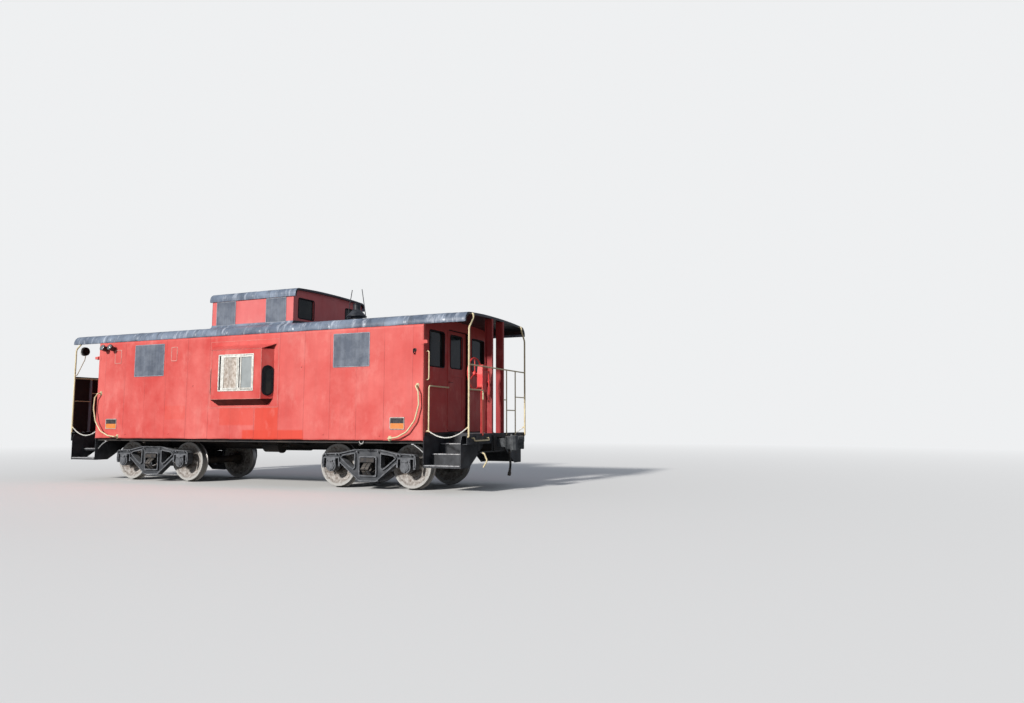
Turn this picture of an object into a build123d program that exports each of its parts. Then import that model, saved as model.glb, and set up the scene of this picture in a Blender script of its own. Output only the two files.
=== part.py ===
from build123d import *
import math
import os

# A steel railway caboose with a roof cupola, a bay window on each side, an open platform at
# each end and two four-wheel trucks.
# Millimetres. +X runs along the car, -Y is the side with the two low blank signs, +Z is up.
# The drawing's heights are taken from the top of the rail. save() lifts each piece by the
# depth of the wheel flanges, so that z = 0 is the lowest point of the wheels.
# End "a" is the +X end and end "b" the -X end. Side "r" is -Y and side "l" is +Y.

# Wheels and axles
flange_height = 25.4
wheel_radius = 419.0
wheel_back_to_back = 1362.0
wheel_width = 146.0
flange_thickness = 32.0
hub_radius = 135.0
axle_seat_radius = 90.0
axle_middle_radius = 72.0
journal_radius = 70.0
journal_end_y = 1062.0
journal_start_y = 885.0
running_gap = 0.5

# Trucks
truck_centre_x = 2807.0
truck_wheelbase = 1676.0
frame_inner_y = 920.0
frame_outer_y = 1060.0
frame_web = 50.0
journal_face_y = 1095.0
journal_box_half = 105.0
journal_box_radius = 114.0
journal_box_top = 560.0
journal_lid_radius = 84.0
frame_rim = 22.0
frame_recess = 34.0
window_half = 180.0
window_bottom = 245.0
window_top = 585.0
bolster_half_width = 160.0
bolster_underside = 492.0
bolster_top = 620.0
bowl_radius = 190.0
plate_radius = 150.0
plate_clearance = 3.0
side_bearing_y = 635.0
brake_beam_x = 300.0
shoe_gap = 10.0
shoe_half_width = 32.0

# Underframe
centre_sill_half = 165.0
centre_sill_bottom = 680.0
floor_underside = 1000.0
floor_thickness = 60.0
sill_plate = 12.0
side_sill_bottom = 860.0
cross_bearer_x = (700.0, 1560.0)

# Body
body_half = 4190.0
body_half_width = 1375.0
wall = 60.0
end_wall = 90.0
sheet_bottom = 912.0
eave = 3035.0
side_window_x = 2615.0
side_window_z = eave - 420.0
side_opening_size = (740.0, 560.0)
plate_thickness = 6.0
end_window_y = 875.0
end_window_size = (560.0, 650.0)
end_window_z = side_window_z
pane = 6.0
pane_gap = 0.3

# Roofs
roof_half_length = body_half + 850.0
roof_half_width = body_half_width + 10.0
roof_rise = 227.0
roof_crown = eave + roof_rise
roof_shell = 45.0
roof_camber_radius = 20000.0
eave_radius = 170.0
cupola_half = 1067.0
cupola_half_width = 1202.0
cupola_wall = 50.0
cupola_bottom = roof_crown - 112.0
cupola_top = roof_crown + 524.0
cupola_roof_half = cupola_half + 59.0
cupola_roof_half_width = cupola_half_width + 22.5
cupola_rise = 206.0
cupola_crown = cupola_top + cupola_rise
cupola_shell = 40.0
cupola_eave_radius = 130.0
cupola_window_x = (-688.0, 630.0)
cupola_window_z = cupola_top - 261.0
cupola_plate_size = (520.0, 510.0)
cupola_opening_size = (440.0, 430.0)
cupola_end_window_y = 796.0
cupola_end_window_size = (480.0, 390.0)
cupola_end_window_z = cupola_top - 221.0

# Bay windows, as on side r
bay_depth = 220.0
bay_front_y = body_half_width + bay_depth
bay_wall_half = 780.0
bay_front_half = 645.0
bay_wall_z = (1720.0, 2705.0)
bay_front_z = (1712.0, 2715.0)
bay_shell = 25.0
bay_foot_half = 630.0
bay_foot_z = 1590.0
hood_front_half = 655.0
hood_wall_half = 845.0
hood_wall_z = 2823.0
hood_thickness = 6.0
bay_flange_half = 880.0
bay_flange_z = (1555.0, 2905.0)
bay_window_x = (-455.0, 455.0)
bay_window_z = (1875.0, 2615.0)
slot_height = 560.0
slot_width = 190.0
slot_z = 2078.0
gasket_lip = 20.0
gasket_depth = 16.0
gasket_wall = 8.0
sash_bar = 24.0
sash_depth = 18.0
sash_left = -395.0
sash_stile = 85.0
sash_right = 125.0
sash_meeting = 110.0
sash_rail = 24.0

# Doors
door_half_opening = 415.0
door_top = eave - 5.0
door_gap = 10.0
door_thickness = 40.0
door_window_half = 240.0
door_window_z = (door_top - 720.0, door_top - 95.0)
hinge_offset = 10.0
hinge_radius = 8.0
hinge_pin_radius = 5.0
hinge_heights = (1300.0, 2050.0, 2800.0)
knuckle = 40.0

# Platforms, steps and end rails
platform_end = body_half + 860.0
platform_top = 1040.0
end_sill_depth = 100.0
end_sill_half_width = body_half_width - 60.0
end_sill_bottom = 850.0
deck_half = 470.0
step_plate = 8.0
step_half_width = body_half_width - 15.0
step_bottom = 430.0
rail_x = platform_end + 20.0
column_radius = 17.0
rail_radius = 13.0
upright_radius = 12.0
rung_radius = 10.5
column_y = body_half_width - 85.0
top_rail_z = 2270.0
post_y = 250.0
post_width = 60.0
post_depth = 150.0
post_web = 10.0

# Couplers
coupler_z = 860.0
coupler_face = platform_end + 430.0
shank_half_width = 65.0
shank_half_height = 80.0
shank_end = platform_end - 450.0


os.makedirs("parts", exist_ok=True)


def save(name, *solids):
    """Write one node, lifted from rail level to the level of the flanges."""
    lifted = [Pos(0, 0, flange_height) * solid for solid in solids]
    export_step(lifted[0] if len(lifted) == 1 else Compound(children=lifted), f"parts/{name}.step")


def block(x, y, z):
    """A box between the two values of each pair."""
    size = (x[1] - x[0], y[1] - y[0], z[1] - z[0])
    centre = ((x[0] + x[1]) / 2, (y[0] + y[1]) / 2, (z[0] + z[1]) / 2)
    return Pos(*centre) * Box(*size)


def rod(start, end, radius):
    """A round bar between two points."""
    axis = Vector(*end) - Vector(*start)
    return extrude(Plane(origin=start, z_dir=axis) * Circle(radius), axis.length)


def pipe(points, radius, bend):
    """A round pipe along straight runs joined by bends."""
    path = FilletPolyline(*points, radius=bend)
    return sweep(Plane(origin=path @ 0, z_dir=path % 0) * Circle(radius), path=path)


def plate(plane, points, thickness):
    """A flat plate: an outline drawn on a plane, thickened both ways."""
    return extrude(plane * make_face(Polyline(*points, close=True)), thickness / 2, both=True)


def across(solid):
    """The same piece on the other side of the car."""
    return solid.mirror(Plane.XZ)


def turned(solid):
    """The same piece at the other end: the car is alike when it is turned half round."""
    return Rot(0, 0, 180) * solid


def fuse(pieces):
    """Join a list of solids into one."""
    whole = pieces[0]
    for piece in pieces[1:]:
        whole = whole + piece
    return whole


# Wheels: one revolved section with tread, flange, dished plate and hub, pressed on the axle.
wheel_back = wheel_back_to_back / 2
wheel_front = wheel_back + wheel_width
wheel_section = Polyline(
    (wheel_back - 10, axle_seat_radius + 0.2),
    (wheel_back - 10, hub_radius),
    (wheel_back + 12, hub_radius + 25),
    (wheel_back + 22, 320),
    (wheel_back + 2, 345),
    (wheel_back, wheel_radius + 12),
    (wheel_back + 8, wheel_radius + flange_height - 3),
    (wheel_back + 16, wheel_radius + flange_height),
    (wheel_back + 24, wheel_radius + flange_height - 4),
    (wheel_back + flange_thickness, wheel_radius + 3),
    (wheel_back + 45, wheel_radius),
    (wheel_front - 8, wheel_radius - 4),
    (wheel_front, wheel_radius - 10),
    (wheel_front, 350),
    (wheel_front - 22, 330),
    (wheel_back + 62, hub_radius + 60),
    (wheel_front + 12, hub_radius - 10),
    (wheel_front + 12, axle_seat_radius + 0.2),
    close=True,
)
wheel = revolve(Plane.YZ * make_face(wheel_section), Axis.Y)
axle_section = Polyline(
    (0, 0),
    (0, axle_middle_radius),
    (wheel_back - 120, axle_seat_radius - 4),
    (wheel_back - 14, axle_seat_radius),
    (wheel_front + 16, axle_seat_radius),
    (journal_start_y, axle_seat_radius - 8),
    (journal_start_y, journal_radius),
    (journal_end_y - 16, journal_radius),
    (journal_end_y - 16, journal_radius + 7),
    (journal_end_y, journal_radius + 7),
    (journal_end_y, 0),
    close=True,
)
half_axle = revolve(Plane.YZ * make_face(axle_section), Axis.Y)
axle = half_axle + across(half_axle)
axle_places = (
    ("1", truck_centre_x + truck_wheelbase / 2),
    ("2", truck_centre_x - truck_wheelbase / 2),
    ("3", -truck_centre_x + truck_wheelbase / 2),
    ("4", -truck_centre_x - truck_wheelbase / 2),
)
for number, axle_x in axle_places:
    place = Pos(axle_x, 0, wheel_radius)
    save(f"wheels_{number}", place * wheel, place * across(wheel))
    save(f"axle_{number}", place * axle)


# Truck side frame: a cast truss with an arched top chord, two sloping members down to a flat
# bottom chord, two columns that make the bolster window, and a jaw each side of each box.
half_base = truck_wheelbase / 2
frame_half_outline = (
    (0, 738), (290, 738), (620, 668), (1010, 652), (1050, 610), (1062, 470), (1045, 375),
    (1002, 375), (1002, journal_box_top), (672, journal_box_top), (672, 405), (636, 405), (636, 472),
    (190, 130), (0, 130),
)
frame_outline = list(frame_half_outline) + [(-x, z) for x, z in reversed(frame_half_outline[1:-1])]
frame_triangle = ((300, 648), (560, 612), (606, 572), (400, 410), (330, 372), (300, 400))


def frame_openings(rim):
    """The bolster window and the two triangles, made larger by the width of the rim."""
    middle = (window_bottom + window_top) / 2
    height = window_top - window_bottom
    openings = [Pos(0, middle) * RectangleRounded(2 * (window_half + rim), height + 2 * rim, 35)]
    for side in (1, -1):
        hole = make_face(Polyline(*[(side * x, z) for x, z in frame_triangle], close=True))
        openings.append(offset(hole, amount=rim) if rim else hole)
    return openings


def frame_face(rim):
    """The side frame's face, or the sunk web inside its rims."""
    face = make_face(Polyline(*frame_outline, close=True))
    if rim:
        face = offset(face, amount=-rim)
    for opening in frame_openings(rim):
        face -= opening
    return face


def xz(y):
    """A drawing plane across the car at y, with X to the right and Z up."""
    return Plane(origin=(0, y, 0), x_dir=(1, 0, 0), z_dir=(0, -1, 0))


frame_depth = frame_outer_y - frame_inner_y
side_frame = extrude(xz(-frame_inner_y) * frame_face(0), frame_depth)
side_frame -= extrude(xz(-frame_outer_y + frame_recess) * frame_face(frame_rim), frame_recess + 1)
box_bore = journal_radius + running_gap
box_inner_y = journal_start_y + 8
for side in (1, -1):
    box_x = side * half_base
    box_face = Pos(box_x, wheel_radius) * Circle(journal_box_radius)
    box_face += Pos(box_x, (wheel_radius + journal_box_top) / 2) * Rectangle(
        2 * journal_box_half, journal_box_top - wheel_radius)
    body = extrude(xz(-box_inner_y) * box_face, journal_face_y - 26 - box_inner_y)
    lid = extrude(xz(-journal_face_y + 26) * Pos(box_x, wheel_radius) * Circle(journal_lid_radius), 18)
    lid += extrude(xz(-journal_face_y + 8) * Pos(box_x, wheel_radius) * Circle(journal_lid_radius - 26), 8)
    lid += block((box_x - 14, box_x + 14), (-journal_face_y, -journal_face_y + 20), (wheel_radius - 96, wheel_radius + 96))
    lid += rod((box_x - 52, -journal_face_y + 14, wheel_radius + 94), (box_x + 52, -journal_face_y + 14, wheel_radius + 94), 14)
    bore = rod((box_x, -journal_start_y, wheel_radius), (box_x, -journal_end_y + 16, wheel_radius), box_bore)
    collar = rod(
        (box_x, -journal_end_y + 16 + 4, wheel_radius), (box_x, -journal_end_y - 2, wheel_radius),
        box_bore + 10)
    side_frame = side_frame + body + lid
    side_frame = side_frame - bore - collar


# Truck bolster: a box beam whose ends lie in the side frames' windows, with the centre bowl
# and the side bearings on top.
bolster_outline = (
    (-1085, bolster_underside), (-860, bolster_underside), (-520, 400), (520, 400),
    (860, bolster_underside), (1085, bolster_underside), (1085, 572), (860, 580),
    (420, bolster_top), (-420, bolster_top), (-860, 580), (-1085, 572),
)
bolster = plate(Plane.YZ, bolster_outline, 2 * bolster_half_width)
bowl_floor = bolster_top + 12
bowl_rim = bolster_top + 35
bowl = rod((0, 0, bolster_top - 20), (0, 0, bowl_rim), bowl_radius)
bowl -= rod((0, 0, bowl_floor), (0, 0, bowl_rim + 1), plate_radius + plate_clearance)
bolster = bolster + bowl
for side in (1, -1):
    bearing_y = side * side_bearing_y
    bolster = bolster + block((-90, 90), (bearing_y - 50, bearing_y + 50), (580, 660))


# Leaf springs: two full elliptic springs side by side under each end of the bolster. Each
# half is a stack of curved leaves of falling length, held by a band at the middle.
spring_centre_y = 990.0
spring_half_length = 165.0
spring_width = 76.0
spring_x = (-45.0, 45.0)
leaf = 12.0
leaves = 4
spring_low = window_bottom
spring_high = bolster_underside
spring_middle = (spring_low + spring_high) / 2
half_height = (spring_high - spring_low) / 2
band = 8.0
camber = half_height - leaves * leaf - band
main_radius = (spring_half_length**2 + camber**2) / (2 * camber)


def half_spring():
    """The upper half of one spring, drawn in YZ with its ends at height zero."""
    section = None
    centre_z = camber - main_radius
    for number in range(leaves):
        inner = main_radius + number * leaf
        reach = spring_half_length * (1 - 0.19 * number)
        ring = Pos(0, centre_z) * Circle(inner + leaf) - Pos(0, centre_z) * Circle(inner)
        cut = ring & Pos(0, centre_z + main_radius) * Rectangle(2 * reach, 2 * main_radius)
        section = cut if section is None else section + cut
    stack = extrude(Plane.YZ * section, spring_width / 2, both=True)
    above = block((-200, 200), (-400, 400), (0, 400))
    clip = block((-spring_width / 2 - 4, spring_width / 2 + 4), (-32, 32), (camber - 6, half_height))
    return (stack & above) + clip


upper_half = half_spring()
one_spring = upper_half + upper_half.mirror(Plane.XY)
for side in (1, -1):
    eye_y = side * (spring_half_length - 2)
    one_spring += rod((-spring_width / 2, eye_y, 0), (spring_width / 2, eye_y, 0), 14)
one_spring = Pos(0, -spring_centre_y, spring_middle) * one_spring
springs = [Pos(x, 0, 0) * one_spring for x in spring_x]
springs = springs + [across(spring) for spring in springs]


# Truck brakes: a beam inboard of each axle with a curved shoe at each wheel, hung by links
# from pins on the side frames.
def brake_beam(side):
    """One beam with its shoes and hangers, on the given side of the bolster."""
    shoe_inner = wheel_radius + shoe_gap
    beam_z = 350.0
    beam = block((side * brake_beam_x - 22, side * brake_beam_x + 22), (-790, 790), (beam_z - 30, beam_z + 30))
    pieces = [beam]
    for sign in (1, -1):
        y = sign * (wheel_back + flange_thickness + 9 + shoe_half_width)
        ring = rod((side * half_base, y - shoe_half_width, wheel_radius),
                   (side * half_base, y + shoe_half_width, wheel_radius), shoe_inner + 42)
        ring -= rod((side * half_base, y - 40, wheel_radius), (side * half_base, y + 40, wheel_radius),
                    shoe_inner)
        lower = (side * brake_beam_x - 90, side * brake_beam_x + 110)
        if side < 0:
            lower = (side * brake_beam_x - 110, side * brake_beam_x + 90)
        shoe = ring & block(lower, (y - 60, y + 60), (250, 450))
        head = block(
            (side * brake_beam_x - 22, side * brake_beam_x + 72) if side > 0
            else (side * brake_beam_x - 72, side * brake_beam_x + 22),
            (y - 28, y + 28), (beam_z - 45, beam_z + 45))
        head -= rod((side * half_base, y - 60, wheel_radius), (side * half_base, y + 60, wheel_radius),
                    shoe_inner + 5)
        link_x = side * (brake_beam_x - 8)
        link = block((link_x - 12, link_x + 12), (y - 22, y + 22), (beam_z, 602))
        pin = rod((link_x, y - sign * 20, 590), (link_x, sign * frame_inner_y, 590), 16)
        pieces += [shoe, head, link, pin]
    return fuse(pieces)


brake_beams = [brake_beam(1), brake_beam(-1)]
sprung_bolster = fuse([bolster] + springs)
for end, centre in (("a", truck_centre_x), ("b", -truck_centre_x)):
    place = Pos(centre, 0, 0)
    save(f"side_frames_{end}", place * side_frame, place * across(side_frame))
    save(f"bolster_{end}", place * sprung_bolster)
    save(f"brake_beams_{end}", *[place * beam for beam in brake_beams])


# Centre sill: two Z sections under a cover plate, with the body's half of each centre
# bearing, the draft gear behind each coupler and a striker plate at each end.
flange = 50.0
sill_half = centre_sill_half + flange
sill_outline = (
    (-sill_half, centre_sill_bottom), (-centre_sill_half + sill_plate, centre_sill_bottom),
    (-centre_sill_half + sill_plate, floor_underside - 2 * sill_plate),
    (centre_sill_half - sill_plate, floor_underside - 2 * sill_plate),
    (centre_sill_half - sill_plate, centre_sill_bottom), (sill_half, centre_sill_bottom),
    (sill_half, centre_sill_bottom + sill_plate), (centre_sill_half, centre_sill_bottom + sill_plate),
    (centre_sill_half, floor_underside - sill_plate), (sill_half, floor_underside - sill_plate),
    (sill_half, floor_underside), (-sill_half, floor_underside),
    (-sill_half, floor_underside - sill_plate), (-centre_sill_half, floor_underside - sill_plate),
    (-centre_sill_half, centre_sill_bottom + sill_plate), (-sill_half, centre_sill_bottom + sill_plate),
)
centre_sill = plate(Plane.YZ, sill_outline, 2 * platform_end)
sill_inside = centre_sill_half - sill_plate
for side in (1, -1):
    filler = block(
        sorted((side * (truck_centre_x - 190), side * (truck_centre_x + 190))),
        (-sill_inside, sill_inside), (centre_sill_bottom, centre_sill_bottom + 80))
    disc = rod(
        (side * truck_centre_x, 0, bowl_floor + 0.3), (side * truck_centre_x, 0, centre_sill_bottom + 5),
        plate_radius)
    gear = block(
        sorted((side * 4050, side * shank_end)), (-sill_inside, sill_inside),
        (coupler_z - 110, coupler_z + 110))
    carrier = block(
        sorted((side * (platform_end - 60), side * platform_end)), (-sill_inside, sill_inside),
        (coupler_z - shank_half_height - 30, coupler_z - shank_half_height))
    striker = block(
        sorted((side * platform_end, side * (platform_end + 30))), (-250, 250), (690, 1000))
    striker -= block(
        sorted((side * (platform_end - 5), side * (platform_end + 40))), (-115, 115),
        (coupler_z - shank_half_height, 960))
    centre_sill = centre_sill + filler + disc + gear + carrier + striker
save("centre_sill", centre_sill)


# Side sills: a channel behind the foot of each side wall, open to the inside.
sill_outer = body_half_width - wall
side_sill_outline = (
    (-sill_outer, side_sill_bottom), (-sill_outer + 75, side_sill_bottom),
    (-sill_outer + 75, side_sill_bottom + sill_plate), (-sill_outer + sill_plate, side_sill_bottom + sill_plate),
    (-sill_outer + sill_plate, floor_underside - sill_plate), (-sill_outer + 75, floor_underside - sill_plate),
    (-sill_outer + 75, floor_underside), (-sill_outer, floor_underside),
)
side_sill = plate(Plane.YZ, side_sill_outline, 2 * body_half)
ring_x = 2790.0
staple = pipe(
    [(ring_x - 26, -sill_outer + 30, side_sill_bottom + 5), (ring_x - 26, -sill_outer + 30, 818),
     (ring_x + 26, -sill_outer + 30, 818), (ring_x + 26, -sill_outer + 30, side_sill_bottom + 5)], 8, 24)
side_sill = side_sill + staple + staple.mirror(Plane.YZ)
save("side_sills", side_sill, across(side_sill))


# Cross-bearers and body bolsters: tapered beams from the centre sill out to the side sills.
# columns: place along the car, width, depth at the centre sill, depth at the side sill
bearer_table = [(x, 90.0, 230.0, 120.0) for x in cross_bearer_x]
bearer_table.append((truck_centre_x, 300.0, 225.0, 130.0))
bearers = []
for x, width, deep, shallow in bearer_table:
    inner = centre_sill_half
    outer = sill_outer - sill_plate
    top = floor_underside
    outline = ((inner, top - sill_plate), (outer, top - sill_plate), (outer, top - shallow), (inner, top - deep))
    arm = plate(Plane.YZ, outline, width)
    if x == truck_centre_x:
        arm = arm + block((-80, 80), (side_bearing_y - 45, side_bearing_y + 45), (668, 840))
    arm -= plate(Plane.YZ, (
        (inner - 1, centre_sill_bottom - 1), (sill_half + 0.3, centre_sill_bottom - 1),
        (sill_half + 0.3, centre_sill_bottom + sill_plate + 0.3),
        (inner - 1, centre_sill_bottom + sill_plate + 0.3)), width + 2)
    arm -= block((-width, width), (inner - 1, sill_half + 0.3), (top - sill_plate - 1, top))
    arm -= block((-width, width), (sill_outer - 75.3, outer + 1), (top - sill_plate - 0.3, top))
    arm -= block((-width, width), (sill_outer - 75.3, outer + 1), (0, side_sill_bottom + sill_plate + 0.3))
    for place in (x, -x):
        placed = Pos(place, 0, 0) * arm
        bearers += [placed, across(placed)]
save("cross_bearers", *bearers)


# Floor of the body, on the sills.
save("floor", block(
    (-body_half, body_half), (-sill_outer, sill_outer), (floor_underside, floor_underside + floor_thickness)))


# Platform: a deck plate and an end sill of channel section in one welded piece.
deck = block((body_half, platform_end), (-deck_half, deck_half), (floor_underside, platform_top))
end_sill_outline = (
    (platform_end - end_sill_depth, end_sill_bottom), (platform_end, end_sill_bottom),
    (platform_end, platform_top), (platform_end - end_sill_depth, platform_top),
    (platform_end - end_sill_depth, platform_top - 10), (platform_end - 10, platform_top - 10),
    (platform_end - 10, end_sill_bottom + 10), (platform_end - end_sill_depth, end_sill_bottom + 10),
)
end_sill = plate(xz(0), end_sill_outline, 2 * end_sill_half_width)
end_sill -= block(
    (platform_end - end_sill_depth - 1, platform_end + 1), (-250.3, 250.3), (end_sill_bottom - 1, floor_underside))
platform = deck + end_sill
save("platform_a", platform)
save("platform_b", turned(platform))


# Steps: two hanging side plates with three set-back treads between them, and a brace. The
# steps of end a have risers, and those of end b are open.
step_outline = (
    (-deck_half, floor_underside), (-end_sill_half_width, floor_underside), (-step_half_width, 900),
    (-step_half_width, step_bottom), (-1030, step_bottom), (-690, 640), (-deck_half, 800),
)
inboard = Pos(body_half + step_plate / 2, 0, 0) * plate(Plane.YZ, step_outline, step_plate)
step_end = platform_end - end_sill_depth
outboard = Pos(step_end - step_plate / 2, 0, 0) * plate(Plane.YZ, step_outline, step_plate)
step_unit = inboard + outboard
# columns: height of the tread, front edge, back edge, where the riser stands
tread_table = ((853.0, 735.0, deck_half + step_plate), (673.0, 1072.0, 727.0), (478.0, 1358.0, 1064.0))
for height, front, back in tread_table:
    step_unit += block((body_half, step_end), (-front, -back), (height - step_plate, height))
    step_unit += block((body_half, step_end), (-front, -front + step_plate), (height - 45, height))
brace_foot = (body_half - 250, -sill_outer + 30, side_sill_bottom - 14)
step_unit += pipe(
    [brace_foot, (body_half - 120, -sill_outer + 22, 770), (body_half + 4, -sill_outer + 30, 668)], 9, 30)
step_unit += block(
    (brace_foot[0] - 25, brace_foot[0] + 25), (brace_foot[1] - 22, brace_foot[1] + 22),
    (side_sill_bottom - 24, side_sill_bottom))
closed_unit = step_unit + block(
    (body_half, step_end), (-deck_half - step_plate, -deck_half), (tread_table[0][0] - step_plate, floor_underside))
for upper, lower in zip(tread_table, tread_table[1:]):
    closed_unit += block(
        (body_half, step_end), (-upper[1], -upper[1] + step_plate), (lower[0] - step_plate, upper[0]))
save("steps_a", closed_unit, across(closed_unit))
save("steps_b", turned(step_unit), turned(across(step_unit)))


# Bay window: a welded shell with a flat front, splayed sides, a sloping hood and underside,
# and a flange plate on the wall. The wall is cut to the shell's inside.
splay = (bay_wall_half - bay_front_half) / (bay_front_y - body_half_width)
under_slope = (bay_front_z[0] - bay_wall_z[0]) / (bay_front_y - body_half_width)
hood_slope = (bay_wall_z[1] - bay_front_z[1]) / (bay_front_y - body_half_width)


def bay_section(y, inset):
    """A rectangle through the bay at y, moved in from the outside by a wall's thickness."""
    away = bay_front_y - y
    half = bay_front_half + splay * away - inset * math.hypot(1, splay)
    low = bay_front_z[0] - under_slope * away + inset * math.hypot(1, under_slope)
    high = bay_front_z[1] + hood_slope * away - inset * math.hypot(1, hood_slope)
    return half, low, high


def bay_rectangle(y, inset):
    """The bay's section as a face."""
    half, low, high = bay_section(y, inset)
    return xz(-y) * Pos(0, (low + high) / 2) * Rectangle(2 * half, high - low)


def slot_plane(side, away):
    """A plane on one splayed side of the bay, away from its outer face, with X up."""
    middle_x = side * (bay_front_half + bay_wall_half) / 2
    middle_y = -(bay_front_y + body_half_width) / 2
    normal = Vector(side, -splay, 0)
    return Plane(origin=(middle_x, middle_y, slot_z), x_dir=(0, 0, 1), z_dir=normal).offset(away)


def slot(side, larger, low, high):
    """A bar with round ends through one side of the bay, between two distances from its face."""
    face = slot_plane(side, low) * SlotOverall(slot_height + 2 * larger, slot_width + 2 * larger)
    return extrude(face, high - low)


def wall_outline(y, points):
    """A face across the bay at y, from points of its -X half, mirrored to the +X half."""
    outline = list(points) + [(-x, z) for x, z in reversed(points)]
    return xz(-y) * make_face(Polyline(*outline, close=True))


bay = loft([bay_rectangle(body_half_width, 0), bay_rectangle(bay_front_y, 0)], ruled=True)
bay += block(
    (-bay_flange_half, bay_flange_half), (-body_half_width - plate_thickness, -body_half_width), bay_flange_z)
underside = loft([
    wall_outline(body_half_width, [(-bay_wall_half, bay_wall_z[0] + 2), (-bay_foot_half, bay_foot_z)]),
    wall_outline(bay_front_y, [(-bay_front_half, bay_front_z[0] + 4), (-bay_front_half + 1, bay_front_z[0] - 1)]),
], ruled=True)
bay += underside
hood_outline = (
    (-bay_front_y - hood_thickness, bay_front_z[1]), (-bay_front_y - hood_thickness, bay_front_z[1] + hood_thickness),
    (-body_half_width, hood_wall_z), (-body_half_width, hood_wall_z - hood_thickness),
    (-bay_front_y, bay_front_z[1] - hood_thickness),
)
hood = plate(Plane.YZ, hood_outline, 2 * hood_wall_half)
hood_plan = make_face(Polyline(
    (-hood_front_half, -bay_front_y - hood_thickness), (hood_front_half, -bay_front_y - hood_thickness),
    (hood_wall_half, -body_half_width), (-hood_wall_half, -body_half_width), close=True))
hood = hood & extrude(Plane.XY.offset(bay_front_z[1] - 50) * hood_plan, 400)
bay += hood
bay -= loft(
    [bay_rectangle(body_half_width - 1, bay_shell), bay_rectangle(bay_front_y - bay_shell, bay_shell)], ruled=True)
bay -= block(bay_window_x, (-bay_front_y - 1, -bay_front_y + bay_shell + 1), bay_window_z)
for side in (1, -1):
    bay -= slot(side, 0, -60, 30)
save("bay_r", bay)
save("bay_l", turned(bay))

# The rubber gaskets of the windows in the bay's splayed sides.
gaskets = []
for side in (1, -1):
    gasket = slot(side, gasket_lip, pane_gap, gasket_depth) + slot(side, -pane_gap, -bay_shell, gasket_depth)
    gaskets.append(gasket - slot(side, -gasket_wall, -bay_shell - 1, gasket_depth + 1))
save("bay_gaskets", *gaskets, *[turned(one) for one in gaskets])

# The bay's sliding window: an aluminium frame, with a sash at the left that is slid a little
# way open.
sash_y = (-bay_front_y - 4, -bay_front_y - 4 + sash_depth)
sash = block(
    (bay_window_x[0] + pane_gap, bay_window_x[1] - pane_gap), sash_y,
    (bay_window_z[0] + pane_gap, bay_window_z[1] - pane_gap))
inside_frame = (bay_window_z[0] + sash_bar, bay_window_z[1] - sash_bar)
left_light = (sash_left + sash_stile, sash_right - sash_meeting)
left_light_z = (inside_frame[0] + sash_rail, inside_frame[1] - sash_rail)
right_light = (sash_right, bay_window_x[1] - sash_bar)
window_gap = (bay_window_x[0] + sash_bar, sash_left)
for span, heights in ((left_light, left_light_z), (right_light, inside_frame), (window_gap, inside_frame)):
    sash -= block(span, (sash_y[0] - 1, sash_y[1] + 1), heights)
save("bay_windows", sash, turned(sash))
board = block(
    (left_light[0] + pane_gap, left_light[1] - pane_gap), (sash_y[0] + 3, sash_y[1] - 3),
    (left_light_z[0] + pane_gap, left_light_z[1] - pane_gap))
save("window_board", board)


# Roofs: a cambered sheet with a large radius at each eave, drawn across the car.
def roof_face(half_width, low, crown, radius, inset, extra=0.0):
    """The area under a roof's skin, moved in by inset, with its foot lowered by extra."""
    camber_radius = roof_camber_radius - inset
    circle = Pos(0, crown - roof_camber_radius) * Circle(camber_radius)
    box = Pos(0, (low - extra + crown + 300) / 2) * Rectangle(2 * (half_width - inset), crown + 300 - low + extra)
    face = circle & box
    top_corners = [v for v in face.vertices() if v.Y > low + 5]
    edge = crown - roof_camber_radius + math.sqrt(camber_radius**2 - (half_width - inset) ** 2)
    return fillet(top_corners, min(radius - inset, edge - low - 5))


roof_width_face = roof_face(roof_half_width, eave, roof_crown, eave_radius, 0)
roof_inside_face = roof_face(roof_half_width, eave, roof_crown, eave_radius, roof_shell, 50)
roof = extrude(Plane.YZ * roof_width_face, roof_half_length, both=True)
roof -= extrude(Plane.YZ * roof_inside_face, roof_half_length + 10, both=True)
roof -= block((-cupola_half, cupola_half), (-cupola_half_width, cupola_half_width), (3000, 4000))
save("roof", roof)

cupola_face = roof_face(cupola_roof_half_width, cupola_top, cupola_crown, cupola_eave_radius, 0)
cupola_inside_face = roof_face(
    cupola_roof_half_width, cupola_top, cupola_crown, cupola_eave_radius, cupola_shell, 50)
cupola_roof = extrude(Plane.YZ * cupola_face, cupola_roof_half, both=True)
cupola_roof -= extrude(Plane.YZ * cupola_inside_face, cupola_roof_half + 10, both=True)
save("cupola_roof", cupola_roof)


# Cupola walls: a ring of four walls through the roof. The end walls reach up under the roof.
under_cupola = extrude(
    Plane.YZ * roof_face(
        cupola_roof_half_width, cupola_top, cupola_crown, cupola_eave_radius, cupola_shell + pane_gap, 50),
    cupola_half, both=True)
gable = under_cupola & block(
    (-cupola_half, cupola_half), (-cupola_half_width + 20, cupola_half_width - 20), (cupola_top - 10, cupola_crown))
cupola_walls = block(
    (-cupola_half, cupola_half), (-cupola_half_width, cupola_half_width), (cupola_bottom, cupola_top)) + gable
inner_half = cupola_half - cupola_wall
inner_width = cupola_half_width - cupola_wall
cupola_walls -= block((-inner_half, inner_half), (-inner_width, inner_width), (cupola_bottom - 1, cupola_crown))


def window_hole(centre, size, z):
    """Both walls of one direction cut at once: centre and size along the wall, height z."""
    return (centre - size[0] / 2, centre + size[0] / 2), (z - size[1] / 2, z + size[1] / 2)


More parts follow.
